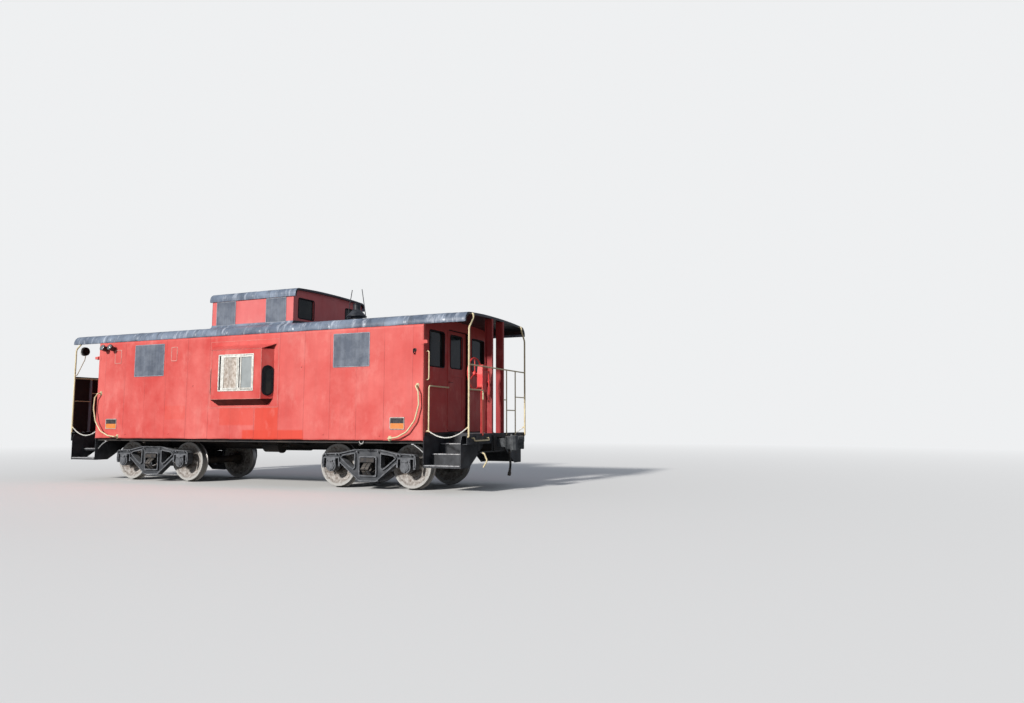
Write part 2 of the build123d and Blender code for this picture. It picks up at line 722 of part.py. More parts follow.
for window_x in cupola_window_x:
    span, heights = window_hole(window_x, cupola_opening_size, cupola_window_z)
    opening = block(span, (-cupola_half_width - 10, -inner_width + 10), heights)
    cupola_walls = cupola_walls - opening - turned(opening)
for side in (1, -1):
    span, heights = window_hole(side * cupola_end_window_y, cupola_end_window_size, cupola_end_window_z)
    cupola_walls -= block((-cupola_half - 10, cupola_half + 10), span, heights)
save("cupola_walls", cupola_walls)


# Side walls: sheet and lining in one, with two window openings, the opening to the bay and a
# marker bracket at each corner.
half, low, high = bay_section(body_half_width, bay_shell)
side_wall = block((-body_half, body_half), (-body_half_width, -body_half_width + wall), (sheet_bottom, eave))
side_wall -= block((-half, half), (-body_half_width - 1, -body_half_width + wall + 1), (low, high))
for side in (1, -1):
    span, heights = window_hole(side * side_window_x, side_opening_size, side_window_z)
    side_wall -= block(span, (-body_half_width - 1, -body_half_width + wall + 1), heights)
for side in (1, -1):
    x = side * body_half
    y = -body_half_width
    side_wall += block(sorted((x - side * 60, x + side * 55)), (y - 8, y), (2660, 2740))
    side_wall += block(sorted((x + side * 10, x + side * 95)), (y - 34, y), (2672, 2728))
save("side_wall_r", side_wall)
save("side_wall_l", turned(side_wall))


# End walls: between the side walls, from the floor to the roof, with a doorway and a window
# each side of it. The door's hinge knuckles are on the inner face.
floor_top = floor_underside + floor_thickness
under_roof = extrude(
    Plane.YZ * roof_face(roof_half_width, eave, roof_crown, eave_radius, roof_shell + pane_gap, 50),
    body_half)
end_inner = body_half - end_wall
end_panel_region = block((end_inner, body_half), (-sill_outer, sill_outer), (floor_top, eave))
end_panel_region += under_roof & block((end_inner, body_half), (-sill_outer, sill_outer), (eave - 20, roof_crown))
end_wall_piece = end_panel_region - block(
    (end_inner - 1, body_half + 1), (-door_half_opening, door_half_opening), (floor_top - 1, door_top + 5))
for side in (1, -1):
    span, heights = window_hole(side * end_window_y, end_window_size, end_window_z)
    end_wall_piece -= block((end_inner - 1, body_half + 1), span, heights)
hinge_x = end_inner - hinge_offset
hinge_y = door_half_opening - 3
for height in hinge_heights:
    lower = rod((hinge_x, hinge_y, height), (hinge_x, hinge_y, height + knuckle), hinge_radius)
    pin = rod((hinge_x, hinge_y, height), (hinge_x, hinge_y, height + 2 * knuckle), hinge_pin_radius)
    leaf_plate = block((end_inner - 4, end_inner), (hinge_y + 3, hinge_y + 45), (height, height + knuckle))
    web = block((hinge_x, end_inner), (hinge_y + 1, hinge_y + 7), (height, height + knuckle))
    end_wall_piece = end_wall_piece + lower + pin + leaf_plate + web
save("end_wall_a", end_wall_piece)
save("end_wall_b", turned(end_wall_piece))


# Doors: a framed leaf with a window, a raised panel below it and a handle on each face.
leaf_half = door_half_opening - door_gap
door = block((end_inner, end_inner + door_thickness), (-leaf_half, leaf_half), (floor_top + 8, door_top - 5))
door -= block(
    (end_inner - 1, end_inner + door_thickness + 1), (-door_window_half, door_window_half), door_window_z)
door -= block(
    (end_inner + door_thickness - 8, end_inner + door_thickness + 1), (-260, 260), (1300, 2130))
for face_x, outward in ((end_inner + door_thickness, 1), (end_inner, -1)):
    handle_y = -leaf_half + 70
    points = [(face_x, handle_y, 2020), (face_x + outward * 32, handle_y, 2020),
              (face_x + outward * 32, handle_y + 130, 2020)]
    door += pipe(points, 9, 14)
for height in hinge_heights:
    upper = height + knuckle + running_gap
    barrel = rod((hinge_x, hinge_y, upper), (hinge_x, hinge_y, upper + knuckle), hinge_radius)
    bridge = block((hinge_x, end_inner), (hinge_y - 12, hinge_y - 4), (upper, upper + knuckle))
    leaf_plate = block((end_inner - 4, end_inner), (hinge_y - 50, hinge_y - 4), (upper, upper + knuckle))
    door = door + barrel + bridge + leaf_plate
    door -= rod(
        (hinge_x, hinge_y, upper - 1), (hinge_x, hinge_y, upper + knuckle + 1), hinge_pin_radius + running_gap)
save("door_a", door)
save("door_b", turned(door))


def glass(x, y, z, thin):
    """A pane set in its opening with a small gap all round. thin is the axis across it."""
    spans = []
    for axis, span in (("x", x), ("y", y), ("z", z)):
        gap = 0.0 if axis == thin else pane_gap
        spans.append((span[0] + gap, span[1] - gap))
    return block(*spans)


door_pane = glass(
    (end_inner + 17, end_inner + 17 + pane), (-door_window_half, door_window_half), door_window_z, "x")
save("door_glass_a", door_pane)
save("door_glass_b", turned(door_pane))


# Fixed panes: end windows, cupola end windows, bay windows and the bays' side windows.
end_panes = []
for side in (1, -1):
    span, heights = window_hole(side * end_window_y, end_window_size, end_window_z)
    end_panes.append(glass((body_half - 50, body_half - 50 + pane), span, heights, "x"))
    span, heights = window_hole(side * cupola_end_window_y, cupola_end_window_size, cupola_end_window_z)
    end_panes.append(glass((cupola_half - 30, cupola_half - 30 + pane), span, heights, "x"))
bay_pane_y = (sash_y[0] + 6, sash_y[0] + 6 + pane)
end_panes.append(glass(right_light, bay_pane_y, inside_frame, "y"))
for side in (1, -1):
    end_panes.append(slot(side, -gasket_wall - pane_gap, -bay_shell / 2, -bay_shell / 2 + pane))
panes = end_panes + [turned(one) for one in end_panes]
panes.append(turned(glass(left_light, bay_pane_y, left_light_z, "y")))
save("window_glass", *panes)


# Blanking plates over the side windows of the body and of the cupola, as on side r.
# columns: place along the car, width, middle height, height, face of the wall
blank_table = [
    (-side_window_x - 22.0, 875.0, side_window_z - 22.0, 695.0, body_half_width),
    (side_window_x, 830.0, side_window_z, 650.0, body_half_width),
]
blank_table += [(x, cupola_plate_size[0], cupola_window_z, cupola_plate_size[1], cupola_half_width)
                for x in cupola_window_x]
blanks = []
for x, width, z, height, face_y in blank_table:
    span, heights = window_hole(x, (width, height), z)
    one = block(span, (-face_y - plate_thickness, -face_y), heights)
    one = fillet(one.edges().filter_by(Axis.Y), 22)
    blanks += [one, turned(one)]
save("blanking_plates", *blanks)


# Smoke jack: a round curb and flared flashing with a short stub of pipe, and two stay rods.
jack_x = 2020.0
jack_y = -380.0
roof_at_jack = roof_crown - roof_camber_radius + math.sqrt(roof_camber_radius**2 - jack_y**2)
jack_section = Polyline(
    (0, 4), (120, 4), (120, 130), (196, 146), (202, 166), (112, 262), (84, 290), (84, 300),
    (76, 300), (76, 415), (0, 415), close=True)
camber = extrude(Plane.YZ * Pos(0, roof_crown - roof_camber_radius) * Circle(roof_camber_radius + pane_gap), 3000)
jack = Pos(jack_x, jack_y, roof_at_jack) * revolve(Plane.XZ * make_face(jack_section), Axis.Z)
jack = jack - Pos(jack_x, jack_y, roof_at_jack + 360) * Cylinder(70, 200)
jack += Pos(jack_x, jack_y, roof_at_jack + 3) * Cylinder(190, 16)
stays = []
for side in (1, -1):
    stay_foot = (jack_x + side * 250, jack_y, roof_at_jack + 4)
    stay = rod(stay_foot, (jack_x + side * 120, jack_y, roof_at_jack + 720), 8)
    stays.append((stay + Pos(*stay_foot) * Box(60, 40, 12)) - camber)
save("smoke_jack", jack - camber, *stays)


# End posts: a pair of steel channels at each end, from the platform up to the roof.
def channel(y, opening):
    """A channel standing on the platform at y, its open side facing along Y by opening."""
    x0 = platform_end - post_depth
    half_post = post_width / 2
    back = y - opening * half_post
    front = y + opening * half_post
    web = block((x0, platform_end), sorted((back, back + opening * post_web)), (platform_top, post_top))
    lips = [
        block((x0, x0 + post_web), sorted((back, front)), (platform_top, post_top)),
        block((platform_end - post_web, platform_end), sorted((back, front)), (platform_top, post_top)),
    ]
    return web + lips[0] + lips[1]


post_top = roof_crown - roof_shell - 3.0
posts = [channel(post_y, 1), channel(-post_y, -1)]
save("end_posts", *posts, *[turned(post) for post in posts])


# Step ropes: the route of each, and the eye that carries each of its ends.
rope_radius = 11.0
rope_route = (
    (4278, -1276, 1071), (4350, -1278, 1030), (4460, -1280, 986), (4600, -1282, 964), (4740, -1284, 981),
    (4860, -1286, 1026), (4950, -1288, 1078), (5015, -1289, 1126),
)


def rope_eye(end, before, length):
    """A round eye that carries on from one end of the rope, in line with the rope's last run."""
    along = (Vector(*end) - Vector(*before)).normalized()
    return rod(end, tuple(Vector(*end) + along * length), rope_radius + 2)


# End rails: two corner columns bent in to the roof's end, a top rail and the lower rails.
def bent(points, radii, radius):
    """A pipe with its own radius at each corner."""
    path = FilletPolyline(*points, radius=radii)
    return sweep(Plane(origin=path @ 0, z_dir=path % 0) * Circle(radius), path=path)


def end_railing(outer_y, inner_rung):
    """One end's rails. The upright at outer_y and the height of its inner rung differ by end."""
    rail_pieces = []
    for side in (1, -1):
        y = side * column_y
        inner = side * (column_y - 170)
        rail_pieces.append(bent(
            [(platform_end, y, 985), (rail_x, y, 985), (rail_x, y, 2930), (rail_x, inner, 3130),
             (rail_x, inner, 3205), (roof_half_length, inner, 3205)],
            [19, 120, 60, 28], column_radius))
    rail_pieces.append(rod((rail_x, -column_y, top_rail_z), (rail_x, column_y, top_rail_z), rail_radius))
    # columns: y of the upright, top height, y reached by a rung, height of the rung
    upright_table = (
        (-710.0, 1830.0, -column_y, 1830.0),
        (360.0, top_rail_z, outer_y, inner_rung),
        (outer_y, top_rail_z, column_y, 1750.0),
    )
    for y, top, reach, rung in upright_table:
        rail_pieces.append(bent(
            [(platform_end, y, 1005), (rail_x, y, 1005), (rail_x, y, top)], [18], upright_radius))
        rail_pieces.append(rod((rail_x, y, rung), (rail_x, reach, rung), rung_radius))
    for side in (1, -1):
        rail_pieces.append(block(
            (platform_end, rail_x), (side * post_y - 18, side * post_y + 18), (top_rail_z - 8, top_rail_z + 8)))
        eye = rope_eye(rope_route[-1], rope_route[-2], 60)
        rail_pieces.append(eye if side < 0 else across(eye))
    rail_pieces.append(bent(
        [(platform_end, post_y, 1680), (rail_x, post_y, 1680), (rail_x, 360, 1680)], [16], rung_radius))
    return fuse(rail_pieces)


save("railing_a", end_railing(790.0, 1480.0))
save("railing_b", turned(end_railing(850.0, 1940.0)))


# Guard panel: a steel sheet fixed outside the rails of end b, on side r, with a flat stiffener
# and two clips to the top rail.
panel_face = -rail_x - column_radius - pane_gap
guard_panel = block(
    (panel_face - 5, panel_face), (-column_y, -post_y - post_width / 2 - 1), (platform_top, top_rail_z + 40))
guard_panel += block((panel_face, panel_face + 5), (-885, -815), (platform_top, top_rail_z - 120))
for clip_y in (-1050, -500):
    guard_panel += block(
        (panel_face, -rail_x - rail_radius - pane_gap), (clip_y - 15, clip_y + 15), (top_rail_z - 8, top_rail_z + 8))
save("guard_panel", guard_panel)


# Grab irons: the curved ones at the body's lower corners, the rail beside each doorway, the
# upright one at each body corner and the low one on each end sill.
def corner_grab(side):
    """A curved grab iron that bows out to the corner and sweeps down along the side."""
    bow = 32 if side < 0 else 0
    y = side * body_half_width
    off = side * (body_half_width + 85)
    x = body_half
    points = [
        (x - 115, y, 1905), (x - 115, off, 1905), (x - 25 - bow, off, 1800), (x - 10 - bow, off, 1560),
        (x - 90 - bow, off, 1280), (x - 260 - bow, off, 1070), (x - 490, off, 975), (x - 690, off, 950), (x - 690, y, 950)]
    return bent(points, [28, 60, 160, 200, 200, 170, 28], 14)


def doorway_rail(side):
    """A rail standing at the head of the steps, bent over to the door's jamb."""
    y = side * (body_half_width - 105)
    x = body_half + 60
    points = [
        (body_half, y, 1085), (x, y, 1085), (x, y, 1905), (x, side * 500, 1905), (body_half, side * 500, 1905)]
    eye = rope_eye(rope_route[0], rope_route[1], 34)
    return bent(points, [28, 45, 28], 14) + (eye if side < 0 else across(eye))


def upright_grab(side):
    """A short upright grab iron high on the end wall's corner."""
    y = side * (body_half_width - 105)
    x = body_half + 55
    points = [(body_half, y, 2020), (x, y, 2020), (x, y, 2540), (body_half, y, 2540)]
    return bent(points, [28, 28], 12)


def sill_grab(side):
    """A low grab iron on the face of the end sill."""
    x = platform_end + 60
    outer = side * (end_sill_half_width - 185)
    inner = side * 520
    points = [
        (platform_end, outer, 960), (x - 10, outer, 960), (x, outer, 915), (x, inner, 915),
        (x - 10, inner, 960), (platform_end, inner, 960)]
    return bent(points, [14, 20, 20, 14], 12)


grabs = []
for side in (1, -1):
    grabs += [corner_grab(side), doorway_rail(side), upright_grab(side), sill_grab(side)]
save("grab_irons", *grabs, *[turned(one) for one in grabs])


# Hand brake: a geared case on a plate behind the end rails, with a spoked wheel inboard, a
# release bar outboard and a rod down to the platform.
brake_y = -620.0
brake_z = 2150.0
brake_mount = block((platform_end - 7, rail_x - rail_radius - 0.3), (brake_y - 85, brake_y + 85), (1800, 2300))
case_face = make_face(Polyline(
    (brake_y - 80, 1880), (brake_y + 80, 1880), (brake_y + 80, 2130), (brake_y + 45, 2310),
    (brake_y - 45, 2310), (brake_y - 80, 2130), close=True))
brake_case = extrude(Plane(origin=(platform_end - 110, 0, 0), x_dir=(0, 1, 0), z_dir=(1, 0, 0)) * case_face, 103)
brake_case = fillet(brake_case.edges().filter_by(Axis.X), 24)
wheel_x = platform_end - 195
spindle = rod((wheel_x - 20, brake_y, brake_z), (platform_end - 105, brake_y, brake_z), 18)
brake_wheel = Pos(wheel_x, brake_y, brake_z) * Rot(0, 90, 0) * Torus(290, 14)
brake_wheel += rod((wheel_x - 22, brake_y, brake_z), (wheel_x + 22, brake_y, brake_z), 42)
for angle in (90, 210, 330):
    tip = (wheel_x, brake_y + 288 * math.cos(math.radians(angle)), brake_z + 288 * math.sin(math.radians(angle)))
    brake_wheel += rod((wheel_x, brake_y, brake_z), tip, 11)
brake_rod = rod((platform_end - 60, brake_y, platform_top), (platform_end - 60, brake_y, 1890), 12)
bar_x = rail_x + 45
release_bar = bent(
    [(platform_end - 2, brake_y + 55, 2215), (bar_x, brake_y + 55, 2215), (bar_x, brake_y + 75, 1800),
     (bar_x - 20, brake_y + 110, 1660)], [22, 60], 12)
release_bar += rod((platform_end - 2, brake_y + 64, 1990), (bar_x, brake_y + 64, 1990), 9)
hand_brake = brake_mount + brake_case + spindle + brake_wheel + brake_rod + release_bar
save("hand_brakes", hand_brake, turned(hand_brake))


# Couplers: an automatic coupler with its shank in the sill, a guard arm and a closed knuckle.
head_plan = (
    (-250, -65), (-215, -120), (-175, -165), (-110, -172), (-60, -150), (-60, -60), (-95, -20),
    (-95, 60), (-60, 100), (-10, 135), (30, 190), (12, 215), (-60, 200), (-150, 165), (-215, 120), (-250, 65),
)
knuckle_plan = (
    (-100, -172), (-40, -176), (0, -150), (0, -40), (-20, 0), (-62, 8), (-70, -20), (-48, -60), (-62, -110),
)


def coupler_part(plan, half_height, radius):
    """A solid of the coupler, drawn in plan from the pulling face."""
    points = [(coupler_face + x, y) for x, y in plan]
    face = make_face(Polyline(*points, close=True))
    solid = extrude(Plane.XY.offset(coupler_z) * face, half_height, both=True)
    return fillet(solid.edges().filter_by(Plane.XY), radius)


shank = block(
    (shank_end, coupler_face - 200), (-shank_half_width, shank_half_width),
    (coupler_z - shank_half_height, coupler_z + shank_half_height))
coupler = shank + coupler_part(head_plan, 125, 14) + coupler_part(knuckle_plan, 140, 10)
coupler += rod((coupler_face - 95, -128, coupler_z - 160), (coupler_face - 95, -128, coupler_z + 165), 20)
save("coupler_a", coupler)
save("coupler_b", turned(coupler))


# Cut levers: a rod from under the coupler out to a bent handle, in two brackets.
lever_x = platform_end + 45
lever = bent(
    [(lever_x, -20, 705), (lever_x, -930, 705), (lever_x + 105, -930, 690), (lever_x + 165, -930, 560),
     (lever_x + 90, -930, 440)], [30, 50, 60], 14)
for bracket_y in (-860.0, -280.0):
    lever += block((platform_end, lever_x + 18), (bracket_y - 12, bracket_y + 12), (690, 722))
    lever += block((platform_end, platform_end + 12), (bracket_y - 25, bracket_y + 25), (690, 900))
save("cut_levers", lever, turned(lever))


# Air brake gear under the floor: cylinder, reservoir and the train pipe with an angle cock at
# each end. The pipe hangs in clips from the bearers.
train_pipe_y = 330.0
train_pipe_z = 752.0
cock_x = 5150.0
cylinder = rod((20, -650, 770), (410, -650, 770), 130) + rod((410, -650, 770), (445, -650, 770), 150)
cylinder += rod((445, -650, 770), (640, -650, 770), 20)
cylinder += block((60, 130), (-700, -600), (850, floor_underside))
cylinder += block((300, 370), (-700, -600), (850, floor_underside))
reservoir = rod((-560, 620, 790), (160, 620, 790), 165)
reservoir += block((-480, -420), (570, 670), (900, floor_underside))
reservoir += block((20, 80), (570, 670), (900, floor_underside))
train_pipe = rod((-cock_x + 40, train_pipe_y, train_pipe_z), (cock_x - 40, train_pipe_y, train_pipe_z), 17)


def under_bearer(y, deep, shallow):
    """The height of a bearer's lower edge at y."""
    along = (y - centre_sill_half) / (sill_outer - sill_plate - centre_sill_half)
    return floor_underside - deep + along * (deep - shallow)


for x, width, deep, shallow in bearer_table:
    for clip_x in (x, -x):
        outline = [(train_pipe_y - 14, train_pipe_z), (train_pipe_y + 14, train_pipe_z)]
        outline += [(y, under_bearer(y, deep, shallow) - pane_gap) for y in (train_pipe_y + 14, train_pipe_y - 14)]
        train_pipe += Pos(clip_x, 0, 0) * plate(Plane.YZ, outline, 30)
angle_cock = rod((cock_x - 82, train_pipe_y, train_pipe_z), (cock_x - 5, train_pipe_y, train_pipe_z), 29)
angle_cock += Pos(cock_x - 5, train_pipe_y, train_pipe_z) * Sphere(34)
angle_cock += rod((cock_x - 5, train_pipe_y, train_pipe_z), (cock_x - 5, train_pipe_y, train_pipe_z - 62), 27)
angle_cock += rod((cock_x - 50, train_pipe_y, train_pipe_z), (cock_x - 50, train_pipe_y, train_pipe_z + 52), 15)
angle_cock += block((cock_x - 58, cock_x + 30), (train_pipe_y - 9, train_pipe_y + 9), (train_pipe_z + 46, train_pipe_z + 58))
other_cock = Pos(-cock_x, 0, 0) * Rot(0, 0, 180) * Pos(-cock_x, -2 * train_pipe_y, 0) * angle_cock
train_pipe = train_pipe + angle_cock + other_cock
save("brake_gear", cylinder, reservoir, train_pipe)


# Air hoses: each hangs from its angle cock and ends in a coupling head. The route is held by
# hand. The +X hose is the first; the other is the same, mirrored to the far end.
hose_radius = 22.0
hose_route = [
    (5145, 330, 690), (5145, 330, 630), (5154, 332, 552), (5161, 336, 470), (5158, 341, 392), (5144, 347, 322),
]


def cord(route, radius, name):
    """A tube along straight runs joined by arcs as large as the runs allow."""
    radii = []
    for before, here, after in zip(route, route[1:], route[2:]):
        first = Vector(*here) - Vector(*before)
        second = Vector(*after) - Vector(*here)
        turn = math.radians(first.get_angle(second))
        radii.append(0.45 * min(first.length, second.length) / math.tan(turn / 2))
    path = FilletPolyline(*route, radius=radii)
    tube = sweep(Plane(origin=path @ 0, z_dir=path % 0) * Circle(radius), path=path)
    drawn = tube.volume / (math.pi * radius**2)
    print(name, "radii", [round(value) for value in radii], "length", round(path.length), "drawn", round(drawn))
    return tube


def head_at(point, before):
    """An air hose's coupling head, hanging on in line with the hose's last run."""
    along = (Vector(*point) - Vector(*before)).normalized()
    plane = Plane(origin=point, z_dir=along, x_dir=(0, 1, 0))
    body = extrude(plane * Circle(26), 46)
    body += extrude(plane.offset(40) * RectangleRounded(64, 54, 12), 66)
    body += extrude(plane.offset(72) * Pos(40, 0) * RectangleRounded(46, 30, 8), 20)
    return body


hose = cord(hose_route, hose_radius, "air hose")
head = head_at(hose_route[-1], hose_route[-2])
save("air_hose_a", hose)
save("air_hose_b", hose.mirror(Plane.YZ))
save("hose_heads", head, head.mirror(Plane.YZ))


# Step ropes: one hangs across the top of each flight of steps, from an eye on the doorway
# rail to an eye on the corner column.
rope = cord(rope_route, rope_radius, "step rope")
save("rope_a_r", rope)
save("rope_a_l", across(rope))
save("rope_b_l", turned(rope))
save("rope_b_r", turned(across(rope)))


# Lamps: twin floodlights under the eave, a round lamp on an arm at end b, and the red marker
# brackets at the body's corners.
lamp_arm = bent(
    [(-rail_x + column_radius + 0.3, -column_y, 2330), (-rail_x + 60, -column_y, 2330),
     (-rail_x + 110, -1150, 2700), (-rail_x + 110, -1130, 2830)], [40, 80], 9)
lamp = rod((-rail_x + 75, -1130, 2900), (-rail_x + 120, -1130, 2900), 96)
lamp += rod((-rail_x + 40, -1130, 2900), (-rail_x + 75, -1130, 2900), 102)
flood_x = -body_half + 350
flood = block((flood_x - 35, flood_x + 35), (-body_half_width - 30, -body_half_width), (2910, 2985))
for x, tilt in ((flood_x - 115, -18), (flood_x + 115, 18)):
    head = Pos(x, -body_half_width - 80, 2900) * Rot(70, 0, tilt) * Cone(52, 68, 120)
    arm = rod((x, -body_half_width - 70, 2925), (flood_x, -body_half_width - 22, 2950), 11)
    flood = flood + head + arm
save("lamps", lamp + lamp_arm, flood)

# Signs: two blank plates low on side r.
sign_table = ((-3710.0, 340.0), (3650.0, 320.0))
signs = [
    block((x - width / 2, x + width / 2), (-body_half_width - 4, -body_half_width), (1110, 1340))
    for x, width in sign_table]
save("signs", *signs)
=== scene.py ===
import math

import bmesh
import bpy
import numpy as np
from mathutils import Matrix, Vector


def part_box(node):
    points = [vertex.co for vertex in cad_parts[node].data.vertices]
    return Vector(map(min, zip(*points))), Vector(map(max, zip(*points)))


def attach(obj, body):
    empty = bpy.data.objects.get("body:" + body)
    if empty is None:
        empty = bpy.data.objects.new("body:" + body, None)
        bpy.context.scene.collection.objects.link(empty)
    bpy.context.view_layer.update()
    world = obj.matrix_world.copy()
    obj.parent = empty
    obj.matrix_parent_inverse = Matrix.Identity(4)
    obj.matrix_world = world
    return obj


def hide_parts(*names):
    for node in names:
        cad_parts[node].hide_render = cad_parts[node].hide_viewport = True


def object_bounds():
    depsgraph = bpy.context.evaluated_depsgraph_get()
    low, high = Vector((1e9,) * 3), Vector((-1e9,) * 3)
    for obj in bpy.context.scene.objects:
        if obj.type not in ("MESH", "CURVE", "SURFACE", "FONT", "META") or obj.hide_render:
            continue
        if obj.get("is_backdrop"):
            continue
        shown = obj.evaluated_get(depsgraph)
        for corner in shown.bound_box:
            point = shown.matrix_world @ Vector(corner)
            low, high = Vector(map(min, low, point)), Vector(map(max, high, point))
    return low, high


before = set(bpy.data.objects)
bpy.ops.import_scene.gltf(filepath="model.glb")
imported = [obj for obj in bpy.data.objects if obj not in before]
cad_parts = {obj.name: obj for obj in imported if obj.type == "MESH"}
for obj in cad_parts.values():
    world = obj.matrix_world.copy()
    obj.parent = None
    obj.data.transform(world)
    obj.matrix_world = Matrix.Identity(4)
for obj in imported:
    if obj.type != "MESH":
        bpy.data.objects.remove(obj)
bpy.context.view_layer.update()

# Heights below are taken from the top of the rail, which is this far above the lowest point of
# the wheel flanges. End a is +X, end b is -X, side r is -Y and side l is +Y.
rail = 0.0254


# Outer faces of the side walls and the end walls, a place just inside an end wall's face, and
# the ends with their signs along X.
wall_face = 1.375
end_face = 4.190
just_inside = end_face - 0.003
car_ends = (("a", 1), ("b", -1))


# Nodes: each function below adds a shader node or two, in a given material or in the material
# of the first socket it is given.
def join(node, inputs):
    """Set a node's inputs from numbers or other nodes' sockets."""
    for key, value in inputs.items():
        if isinstance(value, bpy.types.NodeSocket):
            node.id_data.links.new(value, node.inputs[key])
        else:
            node.inputs[key].default_value = value


def feed(material, key, value):
    """Set one input of a material's own shader."""
    join(material.node_tree.nodes["Principled BSDF"], {key: value})


def add_node(owner, kind, inputs=None, **settings):
    """One shader node. settings are its properties, inputs are numbers or sockets."""
    tree = owner.id_data if isinstance(owner, bpy.types.NodeSocket) else owner.node_tree
    made = tree.nodes.new("ShaderNode" + kind)
    for key, value in settings.items():
        setattr(made, key, value)
    join(made, inputs or {})
    return made


def maths(operation, first, second=0.0):
    """The result of one sum on two values."""
    return add_node(first, "Math", {0: first, 1: second}, operation=operation).outputs[0]


def scaled(value, low, high, start=0.0, end=1.0):
    """A value moved from the range low to high into the range start to end, and held inside it."""
    inputs = {"Value": value, "From Min": low, "From Max": high, "To Min": start, "To Max": end}
    return add_node(value, "MapRange", inputs).outputs["Result"]


def near(value, centre, reach):
    """1 where a value lies within reach of a centre, and 0 elsewhere."""
    return maths("LESS_THAN", maths("ABSOLUTE", maths("SUBTRACT", value, centre)), reach)


def mixed(factor, first, second):
    """A colour between two others."""
    first, second = [colour if isinstance(colour, bpy.types.NodeSocket) else (*colour, 1.0)
                     for colour in (first, second)]
    made = add_node(factor, "Mix", {"Factor": factor}, data_type="RGBA")
    join(made, {"A": first, "B": second})
    return made.outputs["Result"]


def place_of(material, scale=(1.0, 1.0, 1.0), move=(0.0, 0.0, 0.0)):
    """The object's own coordinates, moved and stretched."""
    inputs = {"Vector": add_node(material, "TexCoord").outputs["Object"], "Location": move, "Scale": scale}
    return add_node(material, "Mapping", inputs).outputs["Vector"]


def axis_of(owner, axis, vector=None):
    """One coordinate of a vector, or of the object's own place."""
    return add_node(owner, "SeparateXYZ", {"Vector": vector or place_of(owner)}).outputs[axis]


def cloud(vector, scale, detail=5.0, roughness=0.6):
    """Soft noise from 0 to 1."""
    inputs = {"Vector": vector, "Scale": scale, "Detail": detail, "Roughness": roughness}
    return add_node(vector, "TexNoise", inputs).outputs["Fac"]


def dimmed(tone, depth):
    """A colour times a number."""
    return add_node(tone, "VectorMath", {0: tone, "Scale": depth}, operation="SCALE").outputs["Vector"]


def relieved(material, strength, distance, height):
    """Give a material its bump."""
    relief = add_node(material, "Bump", {"Strength": strength, "Distance": distance, "Height": height})
    feed(material, "Normal", relief.outputs["Normal"])


def new_material(name):
    material = bpy.data.materials.new(name)
    material.use_nodes = True
    return material


def tinted(material, where, colour):
    """Lay a colour over a finished surface, as far as where says."""
    tone = material.node_tree.nodes["Principled BSDF"].inputs["Base Color"].links[0].from_socket
    feed(material, "Base Color", mixed(where, tone, colour))


def painted(name, colour, worn, share=0.5, scale=2.0, rough=0.6, metal=0.0, runs=0.2, grain=60.0,
            bump=0.15, coat=0.0, dust=0.0, dust_colour=(0.30, 0.27, 0.24)):
    """A painted or cast surface. Colour = two colours mixed by large noise, darker in runs down
    the piece, with dust where the surface looks up. Roughness and bump follow a fine grain."""
    material = new_material(name)
    place = place_of(material)
    tone = mixed(scaled(cloud(place, scale, 7.0), 0.62 - 0.45 * share, 0.86 - 0.45 * share), colour, worn)
    streak = cloud(place_of(material, (9.0, 9.0, 0.5)), 2.2)
    tone = dimmed(tone, scaled(streak, 0.35, 0.75, 1.0 + runs * 0.35, 1.0 - runs))
    if dust:
        upward = axis_of(material, "Z", add_node(material, "TexCoord").outputs["Normal"])
        settled = scaled(cloud(place, 9.0), 0.3, 0.6, 0.35, dust)
        tone = mixed(maths("MULTIPLY", scaled(upward, 0.25, 0.95), settled), tone, dust_colour)
    fine = cloud(place, grain, 4.0)
    feed(material, "Base Color", tone)
    feed(material, "Roughness", scaled(fine, 0.2, 0.8, max(0.05, rough - 0.16), min(1.0, rough + 0.16)))
    feed(material, "Metallic", metal)
    feed(material, "Coat Weight", coat)
    relieved(material, bump, 0.004, fine)
    return material


def paint(material, *names):
    """Give CAD nodes their material."""
    for name in names:
        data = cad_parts[name].data
        data.materials.clear()
        data.materials.append(material)


# Shapes: a grid of points is an array of rows by columns by three coordinates.
def new_object(name, data):
    made = bpy.data.objects.new(name, data)
    bpy.context.scene.collection.objects.link(made)
    return made


def grid_faces(rows, columns, ring=False, tube=False):
    """Four-cornered faces of a grid of points. ring joins the last row to the first, and tube
    the last column to the first."""
    row = np.arange(rows if ring else rows - 1)[:, None]
    column = np.arange(columns if tube else columns - 1)[None, :]
    above = (row + 1) % rows * columns
    beside = (column + 1) % columns
    corners = [row * columns + column, row * columns + beside, above + beside, above + column]
    return np.stack(corners, axis=-1).reshape(-1, 4)


def add_piece(name, points, faces, material, body="carbody", smooth=True, closed=True):
    """A mesh from an array of points and one or more arrays of faces, that moves with a body. A
    closed shape has its doubles merged and its faces turned outwards."""
    sets = faces if isinstance(faces, list) else [faces]
    data = bpy.data.meshes.new(name)
    data.from_pydata(points.reshape(-1, 3).tolist(), [], [face for part in sets for face in part.tolist()])
    if closed:
        shape = bmesh.new()
        shape.from_mesh(data)
        bmesh.ops.remove_doubles(shape, verts=shape.verts, dist=1e-6)
        bmesh.ops.recalc_face_normals(shape, faces=shape.faces)
        shape.to_mesh(data)
        shape.free()
    data.materials.append(material)
    data.polygons.foreach_set("use_smooth", [smooth] * len(data.polygons))
    data.update()
    piece = new_object(name, data)
    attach(piece, body)
    return piece


